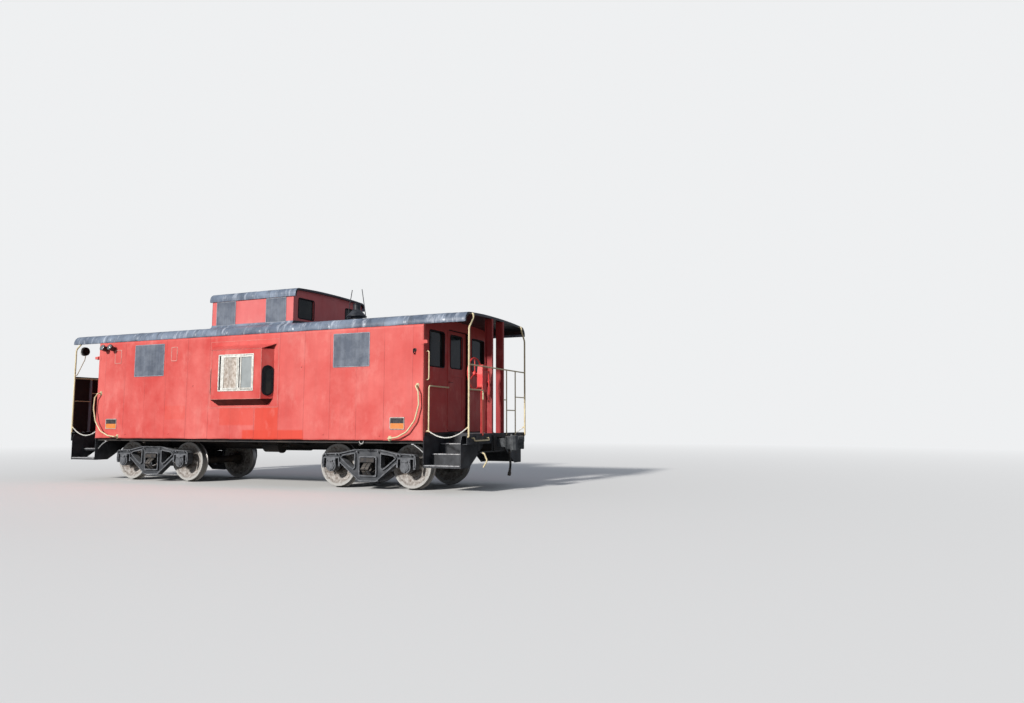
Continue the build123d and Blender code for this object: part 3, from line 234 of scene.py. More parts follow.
def add_grids(name, grids, material, body="carbody", ring=False, smooth=True):
    """One piece from several grids of points, each of them a tube."""
    starts = np.cumsum([0] + [len(grid) * len(grid[0]) for grid in grids])
    faces = [grid_faces(len(grid), len(grid[0]), ring, True) + start for grid, start in zip(grids, starts)]
    points = np.concatenate([np.asarray(grid, float).reshape(-1, 3) for grid in grids])
    return add_piece(name, points, faces, material, body, smooth)


def turns(count):
    """Angles of a full turn in equal steps."""
    return np.linspace(0.0, 2 * math.pi, count + 1)[:-1]


def unit(vector):
    return vector / np.linalg.norm(vector, axis=-1, keepdims=True)


def line(start, end, count=12):
    """Points along a straight line, closer together at its two ends."""
    t = (1 - np.cos(np.linspace(0.0, math.pi, count))) / 2
    return np.asarray(start, float) + t[:, None] * (np.asarray(end, float) - np.asarray(start, float))


def swept(path, normal, profile, ring=True):
    """Surface = path(u) + a(v) times the side direction + b(v) times the normal, where side is
    the path's own direction turned a quarter about the normal."""
    normal = np.broadcast_to(np.asarray(normal, float), path.shape)
    along = np.roll(path, -1, axis=0) - np.roll(path, 1, axis=0) if ring else np.gradient(path, axis=0)
    side = unit(np.cross(along, normal))
    profile = np.asarray(profile, float)
    return (path[:, None] + profile[None, :, 0, None] * side[:, None]
            + profile[None, :, 1, None] * normal[:, None])


def add_skin(name, points, holes, across, flipped, material):
    """An open sheet from a grid of points, less the faces whose middle lies in a hole. A hole is
    a low and a high X, and a low and a high place along the axis across."""
    faces = grid_faces(*points.shape[:2])
    middle = points.reshape(-1, 3)[faces].mean(axis=1)
    for low_x, high_x, low, high in holes:
        inside = (middle[:, 0] > low_x) & (middle[:, 0] < high_x)
        inside &= (middle[:, across] > low) & (middle[:, across] < high)
        faces, middle = faces[~inside], middle[~inside]
    add_piece(name, points, faces[:, ::-1] if flipped else faces, material, closed=False)


def outward(place, axes):
    """The direction away from the car's middle along an axis, 0 to 2, or between two axes."""
    return unit(np.sign(place) * np.isin(range(3), axes))


def mirrored(*half):
    """A profile from its left half, whose last point may lie on the middle line."""
    return [*half, *((-a, b) for a, b in reversed(half) if a)]


def hoop(name, centre, normal, radius, thick, count, material):
    """Round bar bent into a ring. Path = centre + radius times the direction of angle u, in the
    plane of X and the other axis that the normal, which is Y or Z, leaves."""
    angle = turns(count)[:, None]
    across = np.cos(angle) * (1, 0, 0) + np.sin(angle) * (0, normal[2], normal[1])
    profile = thick * np.column_stack([np.cos(turns(8)), np.sin(turns(8))])
    path = np.asarray(centre) + radius * across
    add_grids(name, [swept(path, normal, profile)], material, ring=True)


def bars(name, paths, axes, half_width, height, material, ends=0.006):
    """Half-round bars on a surface that faces outward along the axes. Their sections are scaled
    to nothing at both ends."""
    angle = np.linspace(0.0, math.pi, 7)
    section = np.column_stack([half_width * np.cos(angle), height * np.sin(angle)])
    section = np.vstack([section, [(0.0, -0.001)]])
    grids = []
    for path in paths:
        points = swept(path, outward(path[0], axes), section, ring=False)
        gone = np.concatenate([[0.0], np.cumsum(np.linalg.norm(np.diff(path, axis=0), axis=1))])
        size = np.sqrt(np.clip(np.minimum(gone, gone[-1] - gone) / ends, 0.0, 1.0))
        grids.append(path[:, None] + (points - path[:, None]) * size[:, None, None])
    return add_grids(name, grids, material)


def seals(name, sites, profile, material, count=48, axes=1, body="carbody"):
    """Rounded beads about openings that face outward along the axes. Each is the profile carried
    round a rounded outline, whose point is the centre of the nearest corner + radius times the
    direction of t. A site is a centre, its two half sizes and its corner radius."""
    t = turns(count) + math.pi / count
    grids = []
    for centre, half_u, half_v, radius in sites:
        u = np.sign(np.cos(t)) * (half_u - radius) + radius * np.cos(t)
        v = np.sign(np.sin(t)) * (half_v - radius) + radius * np.sin(t)
        facing = outward(centre, axes)
        across = u[:, None] * np.cross((0.0, 0.0, 1.0), facing)
        path = np.asarray(centre) + across + v[:, None] * (0.0, 0.0, 1.0)
        grids.append(swept(path, facing, profile))
    return add_grids(name, grids, material, body, ring=True)


def nuts(name, centres, size, height, material, body="carbody", axes=1):
    """Six-sided nuts that face outward along the axes: a ring of six points on the face, one at
    the shoulder, one smaller at the top and a point in the middle."""
    centres = np.array(centres)
    up = outward(centres, axes)[:, None]
    first = np.cross(up, (0.0, 0.0, 1.0))
    angle = turns(6)[None, :, None]
    around = size * (np.cos(angle) * first + np.sin(angle) * np.cross(up, first))
    rings = [(1.0, -0.15), (1.0, 0.75), (0.82, 1.0), (0.0, 1.0)]
    points = np.stack([centres[:, None] + wide * around + height * high * up for wide, high in rings], axis=1)
    starts = (np.arange(len(centres)) * len(rings) * 6)[:, None, None]
    sets = (grid_faces(len(rings), 6, tube=True)[None], np.arange(6)[None, None, ::-1])
    faces = [(part + starts).reshape(-1, part.shape[-1]) for part in sets]
    return add_piece(name, points, faces, material, body, smooth=False)


# Camera, floor and lights: a view from the ground off the corner of end a, a pale floor that
# runs into a pale backdrop, and one broad low sun from the front left under a soft sky.
def turned_matrix(place, yaw, pitch, roll):
    """Right, up and back directions from yaw about Z, then pitch, then a small roll."""
    forward = np.array([math.sin(yaw) * math.cos(pitch), math.cos(yaw) * math.cos(pitch), math.sin(pitch)])
    level = np.array([math.cos(yaw), -math.sin(yaw), 0.0])
    right = level * math.cos(roll) + np.cross(level, forward) * math.sin(roll)
    matrix = np.eye(4)
    matrix[:3] = np.column_stack([right, np.cross(right, forward), -forward, place])
    return Matrix(matrix.tolist())


def seen(owner):
    """1 for rays from the camera, straight or through glass, and 0 for light that bounces."""
    path = add_node(owner, "LightPath").outputs
    return maths("MAXIMUM", path["Is Camera Ray"], path["Is Transmission Ray"])


def end_in_mix(owner, output, factor, first, second):
    """End a material or a world in a mix of two shaders."""
    mix = add_node(owner, "MixShader", {0: factor, 1: first.outputs[0], 2: second.outputs[0]})
    join(owner.node_tree.nodes[output], {"Surface": mix.outputs[0]})


scene = bpy.context.scene
camera_data = bpy.data.cameras.new("camera")
camera_data.sensor_width = 36.0
camera_data.lens = 26.96
camera_data.shift_y = -0.0098
camera_data.clip_end = 400.0
scene.camera = new_object("camera", camera_data)
scene.camera.matrix_world = turned_matrix((11.1918, -13.4653, 1.2212 + rail), -0.4097, 0.1065, -0.0017)

backdrop_colour = (0.86, 0.87, 0.88, 1.0)
floor_material = new_material("pale_floor")
floor_seen = seen(floor_material)
floor_place = add_node(floor_material, "TexCoord").outputs["Object"]
floor_far = add_node(floor_material, "VectorMath", {0: floor_place}, operation="LENGTH").outputs["Value"]
feed(floor_material, "Base Color", mixed(floor_seen, (0.27, 0.27, 0.26), (0.80, 0.80, 0.79)))
feed(floor_material, "Roughness", 0.9)
feed(floor_material, "Specular IOR Level", 0.2)
end_in_mix(floor_material, "Material Output", maths("MULTIPLY", scaled(floor_far, 7.0, 34.0), floor_seen),
           floor_material.node_tree.nodes["Principled BSDF"],
           add_node(floor_material, "Emission", {"Color": backdrop_colour}))
floor_half = 150.0
floor_data = bpy.data.meshes.new("floor_sheet")
floor_corners = [(a * floor_half, b * floor_half, 0.0) for a, b in ((-1, -1), (1, -1), (1, 1), (-1, 1))]
floor_data.from_pydata(floor_corners, [], [(0, 1, 2, 3)])
floor_data.materials.append(floor_material)
floor_sheet = new_object("floor_sheet", floor_data)
floor_sheet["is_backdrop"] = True

sun_data = bpy.data.lights.new("sun", "SUN")
sun_data.energy = 4.0
sun_data.angle = 0.09
sun_data.color = (1.0, 0.965, 0.92)
sun = new_object("sun", sun_data)
sun.matrix_world = turned_matrix((0.0, 0.0, 0.0), math.atan2(0.22, 1.0), -math.radians(26.0), 0.0)
sun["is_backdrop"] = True

scene.world = bpy.data.worlds.new("studio")
scene.world.use_nodes = True
sky = scene.world.node_tree.nodes["Background"]
join(sky, {"Color": (0.80, 0.87, 1.0, 1.0), "Strength": 0.34})
end_in_mix(scene.world, "World Output", seen(scene.world), sky,
           add_node(scene.world, "Background", {"Color": backdrop_colour, "Strength": 1.0}))
scene.view_settings.view_transform = "Standard"


# Cords: a smooth line is laid through each route, and the visible rope or hose follows it.
def nurbs_curve(name, points):
    """A smooth line with the given points as its control points."""
    data = bpy.data.curves.new(name, "CURVE")
    data.dimensions = "3D"
    spline = data.splines.new("NURBS")
    spline.points.add(len(points) - 1)
    flat = np.column_stack([np.asarray(points, float), np.ones(len(points))]).ravel()
    spline.points.foreach_set("co", flat)
    spline.order_u = 3
    spline.use_endpoint_u = True
    spline.resolution_u = 24
    data.resolution_u = 24
    return new_object(name, data)


# Step ropes: a laid white rope of three strands, hung across the top of each flight of steps
# between an eye on the doorway rail and an eye on the corner column.
rope_route = np.array([
    (4.278, -1.276, 1.071), (4.350, -1.278, 1.030), (4.460, -1.280, 0.986), (4.600, -1.282, 0.964),
    (4.740, -1.284, 0.981), (4.860, -1.286, 1.026), (4.950, -1.288, 1.078), (5.015, -1.289, 1.126)])
strand_radius = 0.0064
strand_spread = 0.0052
rope_lay = 0.105
rope_white = painted("rope_white", (0.78, 0.78, 0.75), (0.55, 0.53, 0.48), 0.45, 40.0, 0.85, runs=0.1,
                     grain=900.0, bump=0.5)


def laid_rope(name, path):
    """Three strands. Strand = path + offset turning about it once each lay, and each strand is a
    round tube that closes to a point at both ends."""
    step = np.linalg.norm(np.diff(path, axis=0), axis=1)
    gone = np.concatenate([[0.0], np.cumsum(step)])
    stations = np.linspace(0.0, gone[-1], 170)
    middle = np.stack([np.interp(stations, gone, path[:, axis]) for axis in range(3)], axis=1)
    along = unit(np.gradient(middle, axis=0))
    side = unit(np.cross(along, (0.0, 0.0, 1.0)))
    above = np.cross(side, along)
    end = np.minimum(1.0, np.minimum(stations, gone[-1] - stations) / 0.004)
    ring = np.cos(turns(8))[:, None] * side[:, None] + np.sin(turns(8))[:, None] * above[:, None]
    strands = []
    for start in (0.0, 2.094, 4.189):
        turn = (start + stations * (2 * math.pi / rope_lay))[:, None]
        spread = strand_spread * (np.cos(turn) * side + np.sin(turn) * above)
        strands.append((middle + spread)[:, None] + strand_radius * end[:, None, None] * ring)
    return add_grids(name, strands, rope_white)


for rope_name, flip in (("a_r", (1, 1)), ("a_l", (1, -1)), ("b_l", (-1, -1)), ("b_r", (-1, 1))):
    route = rope_route * (*flip, 1) + (0.0, 0.0, rail)
    guide = nurbs_curve("rope_guide", route)
    guide_mesh = bpy.data.meshes.new_from_object(guide)
    path = np.array([vertex.co[:] for vertex in guide_mesh.vertices])
    bpy.data.objects.remove(guide)
    rope = laid_rope(f"step_rope_{rope_name}", path)
    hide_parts(f"rope_{rope_name}")


# Air hoses: a stiff black rubber hose under each end, pushed on the angle cock and on its
# coupling head, with a bolted band at each of its ends.
hose_route = np.array([
    (5.145, 0.330, 0.690), (5.145, 0.330, 0.630), (5.154, 0.332, 0.552), (5.161, 0.336, 0.470),
    (5.158, 0.341, 0.392), (5.144, 0.347, 0.322)])
hose_radius = 0.022
hose_black = painted("hose_black", (0.016, 0.016, 0.018), (0.055, 0.052, 0.05), 0.4, 9.0, 0.6, grain=150.0)
band_steel = painted("band_steel", (0.16, 0.15, 0.14), (0.12, 0.07, 0.045), 0.5, 30.0, 0.5, 0.6)
paint(painted("cock_steel", (0.07, 0.068, 0.07), (0.13, 0.10, 0.075), 0.5, 20.0, 0.6, 0.2), "hose_heads")
band_profile = [(-0.009, 0.0015), (-0.009, 0.0035), (-0.007, 0.0045), (0.007, 0.0045), (0.009, 0.0035),
                (0.009, 0.0015), (0.007, -0.0015), (-0.007, -0.0015)]


def hose_band(name, centre, axis):
    """A band round the hose. Radius and distance along it = profile(v), turned through angle u."""
    axis = unit(np.asarray(axis, float))
    first = unit(np.cross(axis, (0.0, 1.0, 0.0)))
    second = np.cross(axis, first)
    angle = turns(32)[:, None, None]
    profile = np.array(band_profile)
    out = (hose_radius + profile[:, 1])[None, :, None]
    ring = out * (np.cos(angle) * first + np.sin(angle) * second)
    points = np.asarray(centre) + ring + profile[None, :, 0, None] * axis
    return add_grids(name, [points], band_steel, ring=True)


for end, sign in car_ends:
    route = hose_route * (sign, 1, 1) + (0.0, 0.0, rail)
    hose = nurbs_curve(f"brake_hose_{end}", route)
    hose.data.bevel_depth = hose_radius
    hose.data.bevel_resolution = 5
    hose.data.use_fill_caps = True
    hose.data.materials.append(hose_black)
    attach(hose, "carbody")
    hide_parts(f"air_hose_{end}")
    upper_band = hose_band(f"hose_band_{end}_top", route[0] + (0.0, 0.0, -0.022), (0, 0, 1))
    foot = route[-1] * 0.68 + route[-2] * 0.32
    lower_band = hose_band(f"hose_band_{end}_foot", foot, route[-1] - route[-2])



# Wheels and axles: cast steel wheels, pressed on. The tread and its edge are worn bright, and
# the plate and hub are bleached and rusty, with grease thrown out from the hub.
wheel_radius = 0.419
for number in "1234":
    low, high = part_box(f"wheels_{number}")
    centre = ((low.x + high.x) / 2, 0.0, wheel_radius + rail)
    steel = new_material(f"wheel_steel_{number}")
    spot = place_of(steel, move=tuple(-value for value in centre))
    flat = add_node(steel, "CombineXYZ", {"X": axis_of(steel, "X", spot), "Z": axis_of(steel, "Z", spot)})
    out = add_node(steel, "VectorMath", {0: flat.outputs["Vector"]}, operation="LENGTH").outputs["Value"]
    mottle = cloud(spot, 16.0, 8.0, 0.7)
    uneven = maths("ADD", out, scaled(mottle, 0.2, 0.8, -0.035, 0.035))
    dry = mixed(scaled(mottle, 0.35, 0.62), (0.15, 0.12, 0.10), (0.47, 0.45, 0.43))
    greasy = mixed(scaled(uneven, 0.13, 0.23), (0.045, 0.038, 0.034), dry)
    rim_tone = mixed(scaled(uneven, 0.345, 0.375), greasy, (0.44, 0.435, 0.42))
    worn = scaled(out, 0.409, 0.4145)
    feed(steel, "Base Color", mixed(worn, rim_tone, (0.46, 0.44, 0.42)))
    feed(steel, "Metallic", scaled(worn, 0.0, 1.0, 0.05, 0.8))
    feed(steel, "Roughness", scaled(worn, 0.0, 1.0, 0.8, 0.4))
    relieved(steel, 0.45, 0.004, cloud(spot, 80.0, 6.0))
    paint(steel, f"wheels_{number}")
paint(painted("axle_steel", (0.05, 0.042, 0.038), (0.11, 0.075, 0.05), 0.4, 6.0, 0.75, 0.2),
      "axle_1", "axle_2", "axle_3", "axle_4")


# Trucks: cast side frames with a rim round a sunk web, a bolster on elliptic leaf springs, and
# brake beams. Black paint under grey dust, with the raised rims of the side frames lightened in
# patches as a painted highlight, and nuts and studs on boxes and chords.
truck_black = painted("truck_black", (0.036, 0.041, 0.050), (0.080, 0.086, 0.096), 0.45, 5.0, 0.58, 0.1, 0.2,
                      120.0, 0.45, dust=0.8, dust_colour=(0.31, 0.32, 0.335))
# The raised rims of the side frames are painted lighter grey in patches: a painted highlight where their
# edges catch the light.
truck_rim_highlight = scaled(maths("ABSOLUTE", axis_of(truck_black, "Y")), 1.050, 1.059)
rim_highlight_patches = scaled(cloud(place_of(truck_black), 13.0, 6.0), 0.35, 0.65, 0.15, 0.8)
tinted(truck_black, maths("MULTIPLY", truck_rim_highlight, rim_highlight_patches), (0.19, 0.20, 0.22))
paint(painted("spring_black", (0.032, 0.032, 0.036), (0.09, 0.075, 0.06), 0.4, 12.0, 0.62, 0.2, dust=0.7,
              dust_colour=(0.24, 0.22, 0.20)), "bolster_a", "bolster_b")
paint(truck_black, "side_frames_a", "side_frames_b", "brake_beams_a", "brake_beams_b")
truck_x = 2.807
half_base = 0.838
frame_face = 1.060
lid_face = 1.069
nut_sites = [(x * s, z) for s in (1, -1) for x, z in (
    (0.235, 0.690), (0.235, 0.160), (0.720, 0.637), (0.955, 0.637), (0.650, 0.640), (1.024, 0.430))]
lid_sites = [(half_base * s + x, 0.515) for s in (1, -1) for x in (-0.088, 0.088)]
for end, sign in car_ends:
    for name, sites, face, size, height in (("frame_nuts", nut_sites, frame_face, 0.021, 0.018),
                                            ("box_nuts", lid_sites, lid_face, 0.014, 0.013)):
        places = [(sign * truck_x + x, y * face, z + rail) for y in (-1, 1) for x, z in sites]
        nuts(f"{name}_{end}", places, size, height, truck_black, f"truck_{end}")


# Underframe: centre sill, side sills, cross-bearers, floor and brake gear, all in black paint
# gone dull, with rust along its edges and dust on what looks up.
paint(painted("frame_black", (0.020, 0.020, 0.022), (0.06, 0.048, 0.04), 0.4, 3.0, 0.7, runs=0.3, dust=0.5),
      "centre_sill", "side_sills", "cross_bearers", "floor", "brake_gear")


# Couplers: cast steel, blue-black where it is greased and grey with dust on what looks up.
paint(painted("coupler_steel", (0.045, 0.050, 0.056), (0.13, 0.14, 0.15), 0.5, 9.0, 0.55, 0.35,
              grain=90.0, bump=0.4, dust=0.5), "coupler_a", "coupler_b")


# Platforms and steps: welded plate in black, with grey worn risers and treads. Each tread has
# a round nosing that boots have rubbed bright, and raised bars across it.
step_black = painted("step_black", (0.022, 0.024, 0.029), (0.058, 0.062, 0.071), 0.5, 5.0, 0.55, 0.1, 0.3,
                     70.0, 0.3, dust=0.6, dust_colour=(0.27, 0.28, 0.30))
steps_paint = step_black.copy()
steps_paint.name = "steps_paint"
tinted(steps_paint, near(axis_of(steps_paint, "X"), 0.0, just_inside), (0.42, 0.43, 0.44))
paint(steps_paint, "steps_a", "steps_b")
paint(step_black, "platform_a", "platform_b")
panel_paint = painted("panel_paint", (0.006, 0.006, 0.007), (0.020, 0.016, 0.014), 0.35, 6.0, 0.6)
# A lilac grey for the shaded look of the cream upright of end b's railing: painted shade on the guard panel's
# stiffener here, and on the upright in front of it.
shade_lilac = (0.26, 0.25, 0.30)
tinted(panel_paint, near(axis_of(panel_paint, "Y"), -0.850, 0.0355), shade_lilac)
paint(panel_paint, "guard_panel")
nosing_steel = painted("nosing_steel", (0.50, 0.51, 0.53), (0.20, 0.20, 0.21), 0.5, 14.0, 0.5, 0.2,
                       grain=140.0)
tread_fronts = ((0.735, 0.853), (1.072, 0.673), (1.358, 0.478))
nosing_span = (4.202, 4.938)
bars_across = 18
sill_face = 5.050
for end, sign in car_ends:
    sides = [(y, front, z + rail) for y in (-1, 1) for front, z in tread_fronts]
    near_x, far_x = sign * nosing_span[0], sign * nosing_span[1]
    nosing_paths = [line((near_x, y * front, z - 0.006), (far_x, y * front, z - 0.006))
                    for y, front, z in sides]
    bars(f"nosings_{end}", nosing_paths, 1, 0.010, 0.007, nosing_steel)
    ribs = sign * np.linspace(nosing_span[0] + 0.03, nosing_span[1] - 0.03, bars_across)
    rib_paths = [line((x, y * (front - 0.02), z), (x, y * (front - 0.20), z), 6)
                 for y, front, z in sides for x in ribs]
    bars(f"tread_bars_{end}", rib_paths, 2, 0.005, 0.0035, nosing_steel)
    sill_nuts = [(sign * sill_face, s * y, z + rail)
                 for s in (-1, 1) for y in (0.44, 0.98, 1.20) for z in (0.90, 0.99)]
    nuts(f"end_sill_nuts_{end}", sill_nuts, 0.017, 0.014, step_black, axes=0)


# Body sides: steel sheets 0.61 m wide, lapped and welded to the posts, one skin over each wall.
# They bulge between the posts and have dents. The red has faded by sheets, with newer orange
# red brushed on below the bay and along the foot.
def body_paint(name, colour, faded, by_sheet=False):
    """Red enamel: two reds by large noise, a pale bloom and rubbed scratches, and darker runs, with
    faces that look down painted near black as painted shade. by_sheet also gives each sheet its
    own tone, its dark joint and the newer patches of red."""
    material = new_material(name)
    place = place_of(material)
    tone = mixed(scaled(cloud(place, 1.1, 6.0, 0.62), 0.36, 0.66), colour, faded)
    if by_sheet:
        along = axis_of(material, "X", place)
        high = maths("SUBTRACT", axis_of(material, "Z", place), rail)
        sheet = maths("FLOOR", maths("ADD", maths("DIVIDE", along, sheet_pitch), 0.5))
        chance = add_node(material, "TexWhiteNoise", {"W": sheet}, noise_dimensions="1D").outputs["Value"]
        tone = mixed(scaled(chance, 0.0, 1.0, 0.0, 0.45), tone, (0.66, 0.125, 0.112))
        edge = maths("ADD", along, scaled(cloud(place, 14.0), 0.3, 0.7, -0.012, 0.012))
        for low_x, high_x, low_z, high_z, strength in newer_patches:
            inside = scaled(edge, low_x, low_x + 0.03)
            for limit in (scaled(edge, high_x - 0.03, high_x, 1.0, 0.0), scaled(high, low_z, low_z + 0.03),
                          scaled(high, high_z - 0.03, high_z, strength, 0.0)):
                inside = maths("MULTIPLY", inside, limit)
            tone = mixed(inside, tone, (0.66, 0.062, 0.036))
        joint = scaled(maths("PINGPONG", along, sheet_pitch / 2), 0.2975, 0.3045)
        patchy = scaled(cloud(place_of(material, (3.0, 3.0, 1.0)), 1.4), 0.35, 0.6, 0.12, 0.7)
        tone = mixed(maths("MULTIPLY", joint, patchy), tone, (0.24, 0.020, 0.020))
    bloom = cloud(place_of(material, (1.0, 1.0, 0.55)), 2.6, 9.0, 0.68)
    tone = mixed(scaled(bloom, 0.53, 0.76, 0.0, 0.55), tone, (0.76, 0.27, 0.24))
    scuffs = cloud(place_of(material, (2.0, 2.0, 7.0)), 11.0, 8.0, 0.75)
    tone = mixed(scaled(scuffs, 0.66, 0.74, 0.0, 0.4), tone, (0.74, 0.36, 0.32))
    streak = cloud(place_of(material, (3.6, 3.6, 0.45)), 1.7, 4.0)
    tone = dimmed(tone, scaled(streak, 0.40, 0.80, 1.02, 0.92))
    # Faces that look down are painted near black: painted shade under the bays and other undersides.
    up = axis_of(material, "Z", add_node(material, "NewGeometry").outputs["Normal"])
    feed(material, "Base Color", mixed(scaled(up, -0.5, -0.3, 0.97, 0.0), tone, (0.022, 0.005, 0.005)))
    feed(material, "Roughness", scaled(cloud(place, 5.0, 6.0), 0.3, 0.7, 0.40, 0.62))
    feed(material, "Specular IOR Level", 0.35)
    relieved(material, 0.12, 0.002, cloud(place_of(material, (1.0, 1.0, 0.25)), 90.0, 5.0))
    return material


sheet_pitch = 0.61
newer_patches = (
    (0.31, 0.92, 0.90, 1.56, 0.85), (-0.61, 0.31, 1.18, 1.60, 0.55), (0.0, 1.55, 0.90, 1.115, 0.9),
    (-2.14, -1.53, 1.30, 1.62, 0.3))
side_red = body_paint("side_red", (0.565, 0.060, 0.052), (0.70, 0.156, 0.138), True)
side_face = -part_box("side_wall_r")[0].y - 0.034
side_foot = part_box("side_wall_r")[0].z
side_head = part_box("side_wall_r")[1].z - 0.012
side_half = 4.185
skin_rest = 0.0028
skin_holes = ((-2.985, -2.245, 2.36, 2.92), (2.245, 2.985, 2.36, 2.92), (-0.84, 0.84, 1.66, 2.80))
side_dents = {
    "r": ((4.02, 2.545, 0.05, 0.003), (3.35, 2.05, 0.22, 0.002), (1.45, 2.30, 0.16, 0.0016),
          (1.05, 1.62, 0.13, 0.0018), (-1.72, 1.35, 0.12, 0.0022), (-3.35, 1.75, 0.25, 0.0018),
          (3.05, 1.35, 0.16, 0.0016)),
    "l": ((2.10, 1.55, 0.2, 0.002), (-1.45, 2.05, 0.18, 0.0018), (-3.45, 1.25, 0.12, 0.0024),
          (3.6, 2.4, 0.2, 0.0016))}


def hollows(x, z, spots):
    """Sum of round hollows: depth times exp(-(distance / radius) squared) for each spot."""
    spots = np.array(spots)[:, :, None, None]
    far = (x - spots[:, 0]) ** 2 + (z - rail - spots[:, 1]) ** 2
    return (spots[:, 3] * np.exp(-far / spots[:, 2] ** 2)).sum(axis=0)


def body_skin(name, sign, holes, spots, phase):
    """Distance from the wall = rest + lap step + shallow waves - groove at each joint - hollows,
    and zero along the skin's border. sign is -1 on side r and 1 on side l."""
    joints = sheet_pitch * (np.arange(-7, 7) + 0.5)
    beside = np.concatenate([joints - 0.005, joints - 0.001, joints + 0.001, joints + 0.005])
    hole_x = np.array([value for hole in holes for value in hole[:2]])
    hole_z = np.array([value for hole in holes for value in hole[2:]]) + rail
    x = np.unique(np.round(np.concatenate([
        np.linspace(-side_half, side_half, 190), beside, hole_x, [side_half - 0.002, 0.002 - side_half]]), 5))
    z = np.unique(np.round(np.concatenate([
        np.linspace(side_foot, side_head, 56), hole_z, [side_foot + 0.002, side_head - 0.002]]), 5))
    gx, gz = np.meshgrid(x, z)
    sheet = np.floor(gx / sheet_pitch + 0.5)
    part = gx / sheet_pitch + 0.5 - sheet
    lap = 0.0010 * (part - 0.5)
    wave = 0.0010 * np.sin(math.pi * part) * np.sin(3.1 * gz + 2.4 * sheet + phase)
    wave += 0.0005 * np.sin(7.3 * gz + 1.7 * sheet + 2.0 * phase) * np.sin(2 * math.pi * part)
    groove = 0.0009 * np.exp(-((np.minimum(part, 1 - part) * sheet_pitch) / 0.0025) ** 2)
    away = np.clip(skin_rest + lap + wave - groove - hollows(gx, gz, spots), 0.0004, 0.0052)
    border = (gx <= x[0]) | (gx >= x[-1]) | (gz <= z[0]) | (gz >= z[-1])
    away = np.where(border, 0.0, away)
    points = np.stack([gx, sign * (side_face + away), gz], axis=-1)
    holes = [(low_x, high_x, low_z + rail, high_z + rail) for low_x, high_x, low_z, high_z in holes]
    add_skin(name, points, holes, 2, sign > 0, side_red)


paint(side_red, "side_wall_r", "side_wall_l")
body_skin("body_skin_r", -1, skin_holes, side_dents["r"], 0.0)
body_skin("body_skin_l", 1, [(-b, -a, c, d) for a, b, c, d in skin_holes], side_dents["l"], 1.3)


# Body ends: flat sheet with a framed doorway, a steel door hung in it, and rubber round each
# pane. Windows are set from outside, with a bead that holds the pane.
end_red = body_paint("end_red", (0.50, 0.048, 0.044), (0.56, 0.075, 0.066))
paint(end_red, "door_a", "door_b")
end_wall_red = end_red.copy()
end_wall_red.name = "end_wall_red"
# All of each end wall but its outer face, that is the door and window reveals and the inside, is painted near
# black: painted shade.
tinted(end_wall_red, near(axis_of(end_wall_red, "X"), 0.0, just_inside), (0.045, 0.010, 0.010))
paint(end_wall_red, "end_wall_a", "end_wall_b")
rubber_black = painted("rubber_black", (0.010, 0.011, 0.015), (0.024, 0.026, 0.032), 0.4, 14.0, 0.5,
                       grain=160.0)
feed(rubber_black, "Specular IOR Level", 0.15)
seal_profile = mirrored((-0.011, -0.001), (-0.011, 0.004), (-0.007, 0.008), (0.0, 0.009))
door_face = 4.140
for end, sign in car_ends:
    sites = [((sign * end_face, y, 2.615 + rail), 0.291, 0.336, 0.05) for y in (-0.875, 0.875)]
    seals(f"end_window_seals_{end}", sites, seal_profile, rubber_black, axes=0)
    door_site = ((sign * door_face, 0.0, 2.6225 + rail), 0.251, 0.3235, 0.05)
    seals(f"door_seal_{end}", [door_site], seal_profile, rubber_black, axes=0, body=f"end_door_{end}")
    casing_paths = [line((sign * end_face, y, 1.07 + rail), (sign * end_face, y, 3.02 + rail))
                    for y in (-0.445, 0.445)]
    bars(f"door_casing_{end}", casing_paths, 0, 0.02, 0.010, end_red)


# Bays: a welded steel shell on each side, on a flange plate, with a sloping hood. The paint is
# rubbed to pale pink along the welds. Oval side windows sit in thick rubber.
paint(body_paint("bay_red", (0.57, 0.064, 0.056), (0.70, 0.152, 0.134)), "bay_r", "bay_l")
paint(rubber_black, "bay_gaskets")
weld_pale = painted("weld_pale", (0.62, 0.20, 0.17), (0.66, 0.33, 0.29), 0.5, 9.0, 0.6, grain=120.0)
weld_profile = mirrored((-0.0045, -0.001), (-0.0035, 0.0025), (0.0, 0.0038))
bay_face = 1.595
weld_sites = [((0.0, s * (wall_face + 0.003), 2.230 + rail), 0.884, 0.679, 0.012) for s in (-1, 1)]
weld_sites += [((0.0, s * bay_face, 2.2135 + rail), 0.641, 0.4975, 0.01) for s in (-1, 1)]
seals("bay_welds", weld_sites, weld_profile, weld_pale, 96)


# Bay sliding windows: an aluminium frame in each bay's front, with a track round it, a beaded
# frame to each sash, and a flat black strip where they pass, painted shade for the gap between
# them. On side r one sash has a weathered board for a pane.
sash_metal = painted("sash_metal", (0.78, 0.78, 0.74), (0.52, 0.50, 0.45), 0.4, 16.0, 0.45, 0.1, grain=110.0)
paint(sash_metal, "bay_windows")
paint(painted("board_wood", (0.60, 0.55, 0.50), (0.33, 0.27, 0.22), 0.5, 17.0, 0.85, runs=0.3,
              grain=120.0, bump=0.5), "window_board")
pane_face = 1.599
pane_middle = 2.245 + rail
track_profile = mirrored((-0.010, -0.001), (-0.010, 0.005), (-0.007, 0.0065), (-0.004, 0.005))
track_sites = [((0.0, s * pane_face, pane_middle), 0.446, 0.361, 0.010) for s in (-1, 1)]
seals("window_tracks", track_sites, track_profile, sash_metal, 64)
stile_profile = mirrored((-0.017, -0.001), (-0.016, 0.005), (-0.010, 0.008))
light_sites = [((-s * x, s * pane_face, pane_middle), half_width, 0.322, 0.012)
               for s in (-1, 1) for x, half_width in ((-0.1475, 0.178), (0.2735, 0.146))]
seals("sash_frames", light_sites, stile_profile, sash_metal, 64)
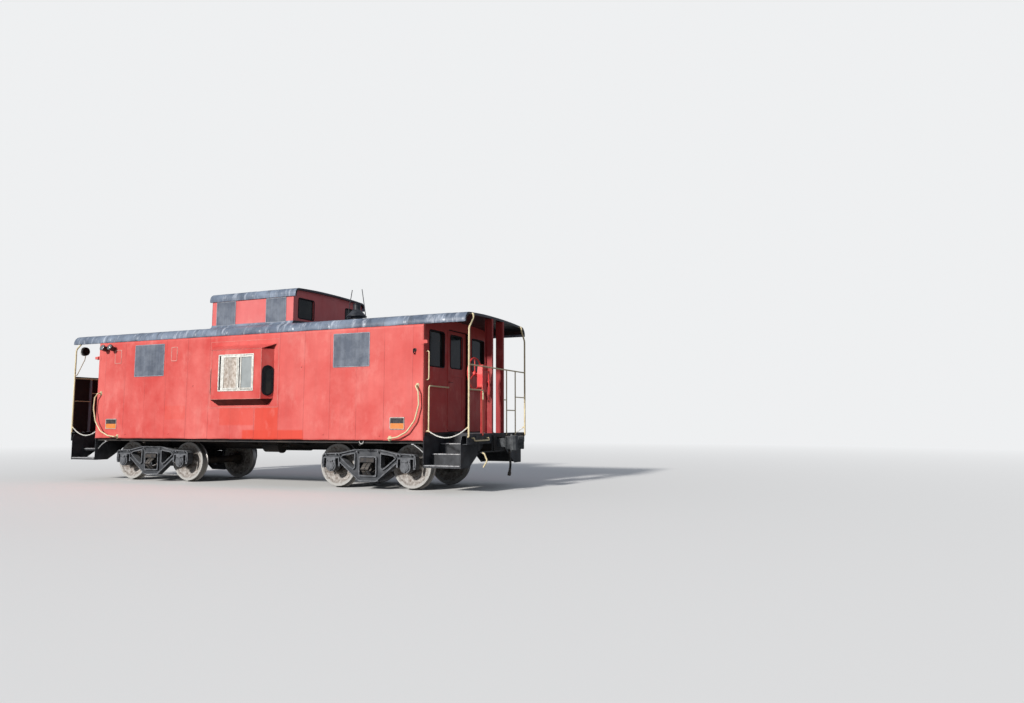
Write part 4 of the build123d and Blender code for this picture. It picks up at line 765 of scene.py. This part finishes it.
# A flat black strip at each meeting stile: painted shade for the gap between the two sashes.
gap_shade_paths = [line((-s * 0.098, s * pane_face, pane_middle - 0.31),
                  (-s * 0.098, s * pane_face, pane_middle + 0.31)) for s in (-1, 1)]
bars("sash_gap_shade", gap_shade_paths, 1, 0.017, 0.003, rubber_black)


# Glass: flat panes. The fixed light of each bay is filmed pale with dust, and the others are
# dark and clean enough to shine.
glass_dirty = new_material("glass_dirty")
glass_place = place_of(glass_dirty)
bay_pane = maths("GREATER_THAN", maths("ABSOLUTE", axis_of(glass_dirty, "Y", glass_place)), 1.578)
film = maths("MULTIPLY", bay_pane, scaled(cloud(glass_place, 6.0), 0.2, 0.7, 0.75, 1.0))
haze = scaled(cloud(glass_place, 3.0, 7.0), 0.4, 0.7)
clean = mixed(haze, (0.012, 0.016, 0.017), (0.040, 0.043, 0.037))
feed(glass_dirty, "Base Color", mixed(film, clean, (0.44, 0.48, 0.49)))
feed(glass_dirty, "Roughness", scaled(haze, 0.0, 1.0, 0.05, 0.22))
feed(glass_dirty, "Transmission Weight", 0.18)
feed(glass_dirty, "Specular IOR Level", 0.35)
paint(glass_dirty, "window_glass", "door_glass_a", "door_glass_b")


# Blanking plates: sheet steel over the side windows of the body and the cupola, in slate paint
# brushed on crosswise, rubbed pale along the edge, held by screws.
plate_slate = painted("plate_slate", (0.085, 0.105, 0.145), (0.155, 0.18, 0.225), 0.55, 4.5, 0.62, runs=0.22,
                      grain=75.0, bump=0.3)
paint(plate_slate, "blanking_plates")
plate_sites = ((-2.637, 0.875, 2.593, 0.695, 1.381), (2.615, 0.830, 2.615, 0.650, 1.381),
               (-0.688, 0.520, 3.525, 0.510, 1.208), (0.630, 0.520, 3.525, 0.510, 1.208))
screw_places = []
for x, width, z, height, y in plate_sites:
    u = np.linspace(-width / 2 + 0.03, width / 2 - 0.03, 5)
    v = np.linspace(-height / 2 + 0.03, height / 2 - 0.03, 4)
    around = [(a, b) for a in u for b in v if a in (u[0], u[-1]) or b in (v[0], v[-1])]
    screw_places += [(-s * (x + a), s * y, z + b + rail) for s in (-1, 1) for a, b in around]
plate_edge = painted("plate_edge", (0.24, 0.27, 0.33), (0.38, 0.40, 0.45), 0.5, 11.0, 0.55, grain=90.0)
edge_profile = mirrored((-0.006, -0.001), (-0.005, 0.002), (0.0, 0.003))
edge_sites = [((-s * x, s * (y + 0.001), z + rail), width / 2 - 0.008, height / 2 - 0.008, 0.006)
              for s in (-1, 1) for x, width, z, height, y in plate_sites]
seals("plate_edges", edge_sites, edge_profile, plate_edge, 64)
nuts("plate_screws", screw_places, 0.0075, 0.003, plate_slate)


# Signs: two blank enamelled plates low on side r, with a dark upper field, an orange lower
# field and a pale rolled border.
sign_face = new_material("sign_face")
sign_middle = 1.225 + rail
sign_wear = scaled(cloud(place_of(sign_face), 22.0, 7.0), 0.35, 0.75)
sign_lower = mixed(sign_wear, (0.74, 0.21, 0.025), (0.62, 0.27, 0.10))
sign_upper = mixed(sign_wear, (0.022, 0.020, 0.022), (0.07, 0.06, 0.06))
on_upper = maths("GREATER_THAN", axis_of(sign_face, "Z"), sign_middle + 0.003)
feed(sign_face, "Base Color", mixed(on_upper, sign_lower, sign_upper))
feed(sign_face, "Roughness", scaled(sign_wear, 0.0, 1.0, 0.35, 0.6))
border_pale = painted("border_pale", (0.50, 0.47, 0.44), (0.32, 0.29, 0.27), 0.5, 20.0, 0.5, grain=90.0)
sign_places = ((-3.710, 0.340), (3.650, 0.320))
for name, (x, width) in zip(("left", "right"), sign_places):
    u, v = np.meshgrid(np.linspace(-1, 1, 25), np.linspace(-1, 1, 19))
    inset = np.minimum(1 - np.abs(u), 1 - np.abs(v))
    thick = 0.0095 * np.clip(inset / 0.02, 0.0, 1.0) ** 0.5
    thick -= 0.0012 * (u**2 - v**2) * np.clip(inset, 0.0, 0.3)
    front = np.stack([x + u * width / 2, -wall_face - thick, sign_middle + v * 0.115], axis=-1)
    back = np.stack([x + u * width / 2, np.full_like(u, -wall_face), sign_middle + v * 0.115], axis=-1)
    loops = np.concatenate([front, back[:, ::-1]], axis=1)
    plate_piece = add_grids(f"sign_{name}", [loops], sign_face)
    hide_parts("signs")
border_profile = mirrored((-0.008, -0.001), (-0.007, 0.0025), (0.0, 0.0035))
border_sites = [((x, -wall_face - 0.009, sign_middle), width / 2 - 0.010, 0.105, 0.008)
                for x, width in sign_places]
seals("sign_borders", border_sites, border_profile, border_pale)


# Side fittings: two welded-over bracket outlines beside the left window, a hook beside a dent at
# the right, a pale ring under the sill, and small caps where old brackets were cut off.
outline_profile = mirrored((-0.011, -0.001), (-0.010, 0.007), (-0.005, 0.011))
outline_sites = [((-s * x, s * wall_face, 2.705 + rail), half_width, 0.145, 0.012)
                 for s in (-1, 1) for x, half_width in ((-3.590, 0.095), (-1.915, 0.080))]
seals("bracket_outlines", outline_sites, outline_profile, weld_pale, 64)
hook_black = painted("hook_black", (0.02, 0.02, 0.022), (0.06, 0.05, 0.045), 0.4, 30.0, 0.5, 0.2)
hook_x = 4.012
hook_t = np.linspace(0.0, 1.0, 26)
hook_path = np.column_stack([
    hook_x - 0.010 * np.sin(2.2 * hook_t),
    -wall_face - 0.004 - 0.052 * np.sin(math.pi * np.minimum(1, hook_t * 1.15)),
    2.575 + rail - 0.085 * hook_t + 0.018 * np.sin(5.5 * hook_t)])
bars("wall_hook", [hook_path], 0, 0.015, 0.015, hook_black, 0.012)
nuts("hook_plate", [(hook_x, -wall_face - 0.004, 2.560 + rail)], 0.036, 0.008, hook_black)
ring_pale = painted("ring_pale", (0.62, 0.62, 0.60), (0.35, 0.33, 0.31), 0.5, 25.0, 0.6)
hoop("sill_ring", (2.850, -1.330, 0.892 + rail), (0, 1, 0), 0.045, 0.009, 32, ring_pale)
cap_places = [(x, s * (wall_face + 0.004), z + rail) for s in (-1, 1) for x, z in (
    (1.45, 2.33), (-1.36, 2.02), (3.27, 1.00), (-3.27, 1.00), (2.00, 1.02), (-2.00, 1.02))]
nuts("side_caps", cap_places, 0.016, 0.007, side_red)


# Roofs: steel sheets rolled over the eaves and lapped about every 0.85 m, under black roof
# coating. Its blue-grey tone is partly worn coating and partly a painted reflection of the sky,
# its pale streaks are partly rubbed coating and partly painted highlight, and faces that look
# down or toward the car's ends are painted near black as painted shade.
roof_black = new_material("roof_black")
roof_place = place_of(roof_black)
roof_patch = scaled(cloud(roof_place, 1.7, 8.0, 0.66), 0.36, 0.68)
# The blue-grey base is partly worn coating and partly a painted reflection of the sky.
roof_tone = mixed(roof_patch, (0.082, 0.106, 0.152), (0.240, 0.295, 0.385))
# Pale streaks: partly rubbed coating and partly painted highlight.
roof_scuff_highlight = cloud(place_of(roof_black, (5.5, 0.9, 0.9)), 1.6, 9.0, 0.72)
roof_tone = mixed(scaled(roof_scuff_highlight, 0.54, 0.66, 0.0, 0.85), roof_tone, (0.52, 0.57, 0.66))
roof_drip = cloud(place_of(roof_black, (8.0, 1.0, 1.0), (3.0, 0.0, 0.0)), 1.3, 7.0, 0.7)
roof_tone = mixed(scaled(roof_drip, 0.56, 0.70, 0.0, 0.7), roof_tone, (0.026, 0.030, 0.040))
# Faces that look down or toward the ends of the car are painted near black: painted shade.
roof_facing = add_node(roof_black, "NewGeometry").outputs["Normal"]
roof_under_shade = scaled(axis_of(roof_black, "Z", roof_facing), -0.3, -0.1, 1.0, 0.0)
roof_end_shade = scaled(maths("ABSOLUTE", axis_of(roof_black, "X", roof_facing)), 0.7, 0.9, 0.0, 0.9)
roof_tone = mixed(maths("MAXIMUM", roof_under_shade, roof_end_shade), roof_tone, (0.012, 0.012, 0.014))
feed(roof_black, "Base Color", roof_tone)
feed(roof_black, "Roughness", scaled(cloud(roof_place, 7.0, 6.0), 0.3, 0.7, 0.26, 0.52))
relieved(roof_black, 0.35, 0.004, cloud(roof_place, 26.0, 7.0))
paint(roof_black, "roof", "cupola_roof")
camber_radius = 20.0


def roof_section(half_width, foot, crown, corner, count):
    """Points and outward normals across a roof: the camber's arc, a round corner at each eave
    and a short upright drop. The right half is worked out and mirrored."""
    low_centre = crown - camber_radius
    corner_y = half_width - corner
    corner_z = low_centre + math.sqrt((camber_radius - corner) ** 2 - corner_y**2)
    meet = math.atan2(corner_z - low_centre, corner_y)
    top = np.linspace(math.pi / 2, meet, count)
    bend = np.linspace(meet, 0.0, 14)[1:]
    y = np.concatenate([camber_radius * np.cos(top), corner_y + corner * np.cos(bend), [half_width]])
    z = np.concatenate([
        low_centre + camber_radius * np.sin(top), corner_z + corner * np.sin(bend), [foot + 0.002]])
    angle = np.concatenate([top, bend, [0.0]])
    section = np.stack([y, z, np.cos(angle), np.sin(angle)], axis=1)
    left = section[:0:-1] * (-1, 1, -1, 1)
    return np.concatenate([left, section])


def roof_skin(name, node, corner, half_length, pitch, shift, hole):
    """Skin = roof section + normal times (rest + step up to each lap + waves), with the hole left
    out, and nothing at the skin's own border."""
    low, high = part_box(node)
    section = roof_section(high.y, low.z, high.z, corner, 22)
    laps = np.arange(-half_length + shift, half_length, pitch)
    x = np.concatenate([np.linspace(-half_length, half_length, 150), laps - 0.002, laps + 0.002,
                        [-hole[0], hole[0], half_length - 0.002, 0.002 - half_length]])
    x = np.unique(np.round(x[np.abs(x) <= half_length], 5))
    gx, row = np.meshgrid(x, np.arange(len(section)))
    y, z, ny, nz = np.moveaxis(section[row], -1, 0)
    part = (gx + half_length - shift) / pitch
    sheet = np.floor(part)
    part = part - sheet
    away = 0.0016 + 0.0024 * part + 0.0012 * np.sin(5.0 * y + 2.1 * sheet) * np.sin(math.pi * part)
    away += 0.0008 * np.sin(11.0 * gx + 3.0 * y + sheet)
    away = np.clip(away, 0.0006, 0.0060)
    away = np.where((np.abs(gx) >= half_length) | (row == 0) | (row == len(section) - 1), 0.0, away)
    points = np.stack([gx, y + ny * away, z + nz * away], axis=-1)
    holes = [(-hole[0], hole[0], -hole[1], hole[1])]
    add_skin(name, points, holes, 1, True, roof_black)


roof_skin("roof_sheets", "roof", 0.170, 5.036, 0.85, 0.31, (1.075, 1.22))
roof_skin("cupola_roof_sheets", "cupola_roof", 0.130, 1.122, 0.75, 0.40, (0.0, 0.0))


# Cupola: walls of sheet steel through the roof, more faded than the body, with a folded
# flashing where they meet the roof and rubber round the end panes.
cupola_red = body_paint("cupola_red", (0.63, 0.118, 0.116), (0.70, 0.190, 0.186))
paint(cupola_red, "cupola_walls")
cupola_half = 1.067
cupola_side = 1.202
roof_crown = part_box("roof")[1].z


def roof_height(y):
    """Height of the roof's cambered top."""
    return roof_crown - camber_radius + np.sqrt(camber_radius**2 - y**2)


flashing_y = np.linspace(-cupola_side - 0.004, cupola_side + 0.004, 9)
flashing_path = np.concatenate([
    [(s * (cupola_half + 0.004), y, roof_height(y) + 0.002) for y in s * flashing_y] for s in (1, -1)])
flashing_profile = [
    (-0.004, 0.0), (-0.004, 0.060), (0.001, 0.062), (0.006, 0.030), (0.030, 0.008), (0.034, 0.0)]
flashing = swept(flashing_path, (0.0, 0.0, 1.0), flashing_profile)
add_grids("cupola_flashing", [flashing], roof_black, ring=True, smooth=False)
pane_sites = [((s * cupola_half, y, 3.565 + rail), 0.251, 0.206, 0.04)
              for s in (1, -1) for y in (-0.796, 0.796)]
seals("cupola_seals", pane_sites, seal_profile, rubber_black, axes=0)
corner_paths = [line((x, y, 3.24 + rail), (x, y, 3.80 + rail))
                for x in (cupola_half, -cupola_half) for y in (cupola_side, -cupola_side)]
bars("cupola_corners", corner_paths, (0, 1), 0.007, 0.0035, cupola_red)


# Smoke jack: a cast curb with a flared skirt, a rolled rim and a collar, and two bare stay rods.
jack_black = painted("jack_black", (0.016, 0.018, 0.024), (0.05, 0.055, 0.065), 0.4, 9.0, 0.4, grain=50.0)
paint(jack_black, "smoke_jack")
jack_x = 2.020
jack_y = -0.380
jack_foot = roof_height(jack_y)
for name, up, radius, thick in (("jack_rim", 0.156, 0.200, 0.010), ("jack_collar", 0.405, 0.080, 0.007)):
    hoop(name, (jack_x, jack_y, jack_foot + up), (0, 0, 1), radius, thick, 56, jack_black)


# Lamps: twin floodlights under the eave with dark fronts, and one round lamp with a pale bezel
# and front on a tan arm.
lamp_black = painted("lamp_black", (0.016, 0.016, 0.018), (0.05, 0.048, 0.045), 0.4, 12.0, 0.35)
arm_top = 2.796 + rail
lamp_z = axis_of(lamp_black, "Z")
on_rim = maths("MULTIPLY", maths("LESS_THAN", axis_of(lamp_black, "X"), -4.995),
               maths("GREATER_THAN", lamp_z, arm_top))
tinted(lamp_black, maths("LESS_THAN", lamp_z, arm_top), (0.34, 0.25, 0.15))
tinted(lamp_black, on_rim, (0.62, 0.64, 0.65))
paint(lamp_black, "lamps")
glassy = {"grain": 240.0, "runs": 0.05}
lens_pale = painted("lens_pale", (0.72, 0.75, 0.76), (0.52, 0.55, 0.58), 0.5, 30.0, 0.12, bump=0.4,
                    coat=0.6, **glassy)
lens_dark = painted("lens_dark", (0.10, 0.11, 0.12), (0.24, 0.25, 0.26), 0.5, 30.0, 0.08, bump=0.5,
                    coat=0.8, **glassy)


def lens(centre, axis, radius, depth):
    """A domed disc. Height = depth times (1 - (r / radius) squared), closed by a flat back."""
    axis = unit(np.asarray(axis, float))
    first = unit(np.cross(axis, (0.0, 0.3, 1.0)))
    turn = turns(28)[None, :, None]
    r = np.array([0.0, 0.3, 0.6, 0.85, 1.0, 1.0, 0.0])
    h = np.array([1.0, 0.91, 0.64, 0.28, 0.0, -0.25, -0.25])
    ring = np.cos(turn) * first + np.sin(turn) * np.cross(axis, first)
    return np.asarray(centre) + radius * r[:, None, None] * ring + depth * h[:, None, None] * axis


lamp_face = -5.030
lamp_high = 2.900 + rail
flood_x = -3.840
flood_y = -wall_face - 0.080
flood_sets = []
for x, tilt in ((flood_x - 0.115, -18.0), (flood_x + 0.115, 18.0)):
    turn = Matrix.Rotation(math.radians(70.0), 3, "X") @ Matrix.Rotation(math.radians(tilt), 3, "Z")
    axis = np.array(turn)[:, 2]
    flood_sets.append(lens(np.array([x, flood_y, lamp_high]) + 0.0595 * axis, axis, 0.060, 0.012))
add_grids("flood_lenses", flood_sets, lens_dark)
round_lens = lens((lamp_face, -1.130, lamp_high), (-1, 0, 0), 0.092, 0.022)
add_grids("round_lens", [round_lens], lens_pale)


# End posts, rails and grab irons: channel posts in the body's red painted much darker as painted
# shade, and bent pipe in cream enamel that has chipped to rust. The mid rail on the brake side is
# cream only at its head.
# The posts are a much darker copy of the body's red: painted shade.
paint(body_paint("post_shaded_red", (0.30, 0.022, 0.026), (0.38, 0.045, 0.042)), "end_posts")


def chipped(name, colour, stained, chip):
    """Enamel on pipe: two tones by noise, and small chips of a darker colour."""
    material = painted(name, colour, stained, 0.4, 9.0, 0.45, grain=150.0, runs=0.15)
    flecks = cloud(place_of(material, (1.0, 1.0, 0.6)), 34.0, 6.0, 0.7)
    tinted(material, scaled(flecks, 0.62, 0.66), chip)
    return material


cream_tones = ((0.76, 0.66, 0.42), (0.64, 0.51, 0.30), (0.16, 0.09, 0.05))
cream = chipped("cream", *cream_tones)
paint(cream, "grab_irons")
rail_cream = chipped("rail_cream", *cream_tones)
rail_x, rail_y, rail_z = [axis_of(rail_cream, axis) for axis in "XYZ"]
on_mid = near(maths("MULTIPLY", rail_y, maths("SIGN", rail_x)), -0.710, 0.022)
on_mid = maths("MULTIPLY", on_mid, maths("LESS_THAN", rail_z, 1.66 + rail))
# The upright of end b's railing in front of the guard panel's stiffener is lilac grey below the top rail:
# painted shade, with only its top left cream.
on_shaded_upright = near(rail_y, -0.850, 0.0125)
for value, top in ((rail_x, -4.9), (rail_z, 2.235 + rail)):
    on_shaded_upright = maths("MULTIPLY", on_shaded_upright, maths("LESS_THAN", value, top))
tinted(rail_cream, on_mid, (0.34, 0.05, 0.035))
tinted(rail_cream, on_shaded_upright, shade_lilac)
paint(rail_cream, "railing_a", "railing_b")
pad_sites = [(s * (end_face - inset), z) for s in (1, -1) for inset, z in ((0.115, 1.905), (0.690, 0.950))]
pad_loops = [((x, s * (wall_face + 0.004), z + rail), 0.030, 0.042, 0.012)
             for s in (-1, 1) for x, z in pad_sites]
pad_profile = [(-0.034, -0.001), (-0.030, 0.006), (0.0, 0.007), (0.004, 0.004), (0.005, -0.001)]
seals("grab_pads", pad_loops, pad_profile, cream, 32)
pad_nuts = [(x, s * (wall_face + 0.009), z + rail + d)
            for s in (-1, 1) for x, z in pad_sites for d in (-0.030, 0.030)]
nuts("grab_nuts", pad_nuts, 0.009, 0.008, cream)


# Hand brakes and cut levers: a red geared case and spoked wheel at each end, and a black rod
# across the end sill with a cream handle.
paint(chipped("brake_red", (0.70, 0.045, 0.045), (0.74, 0.11, 0.09), (0.14, 0.05, 0.04)), "hand_brakes")
lever_paint = chipped("lever_paint", *cream_tones)
tinted(lever_paint, near(axis_of(lever_paint, "X"), 0.0, 5.165), (0.025, 0.025, 0.028))
paint(lever_paint, "cut_levers")

low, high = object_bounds()
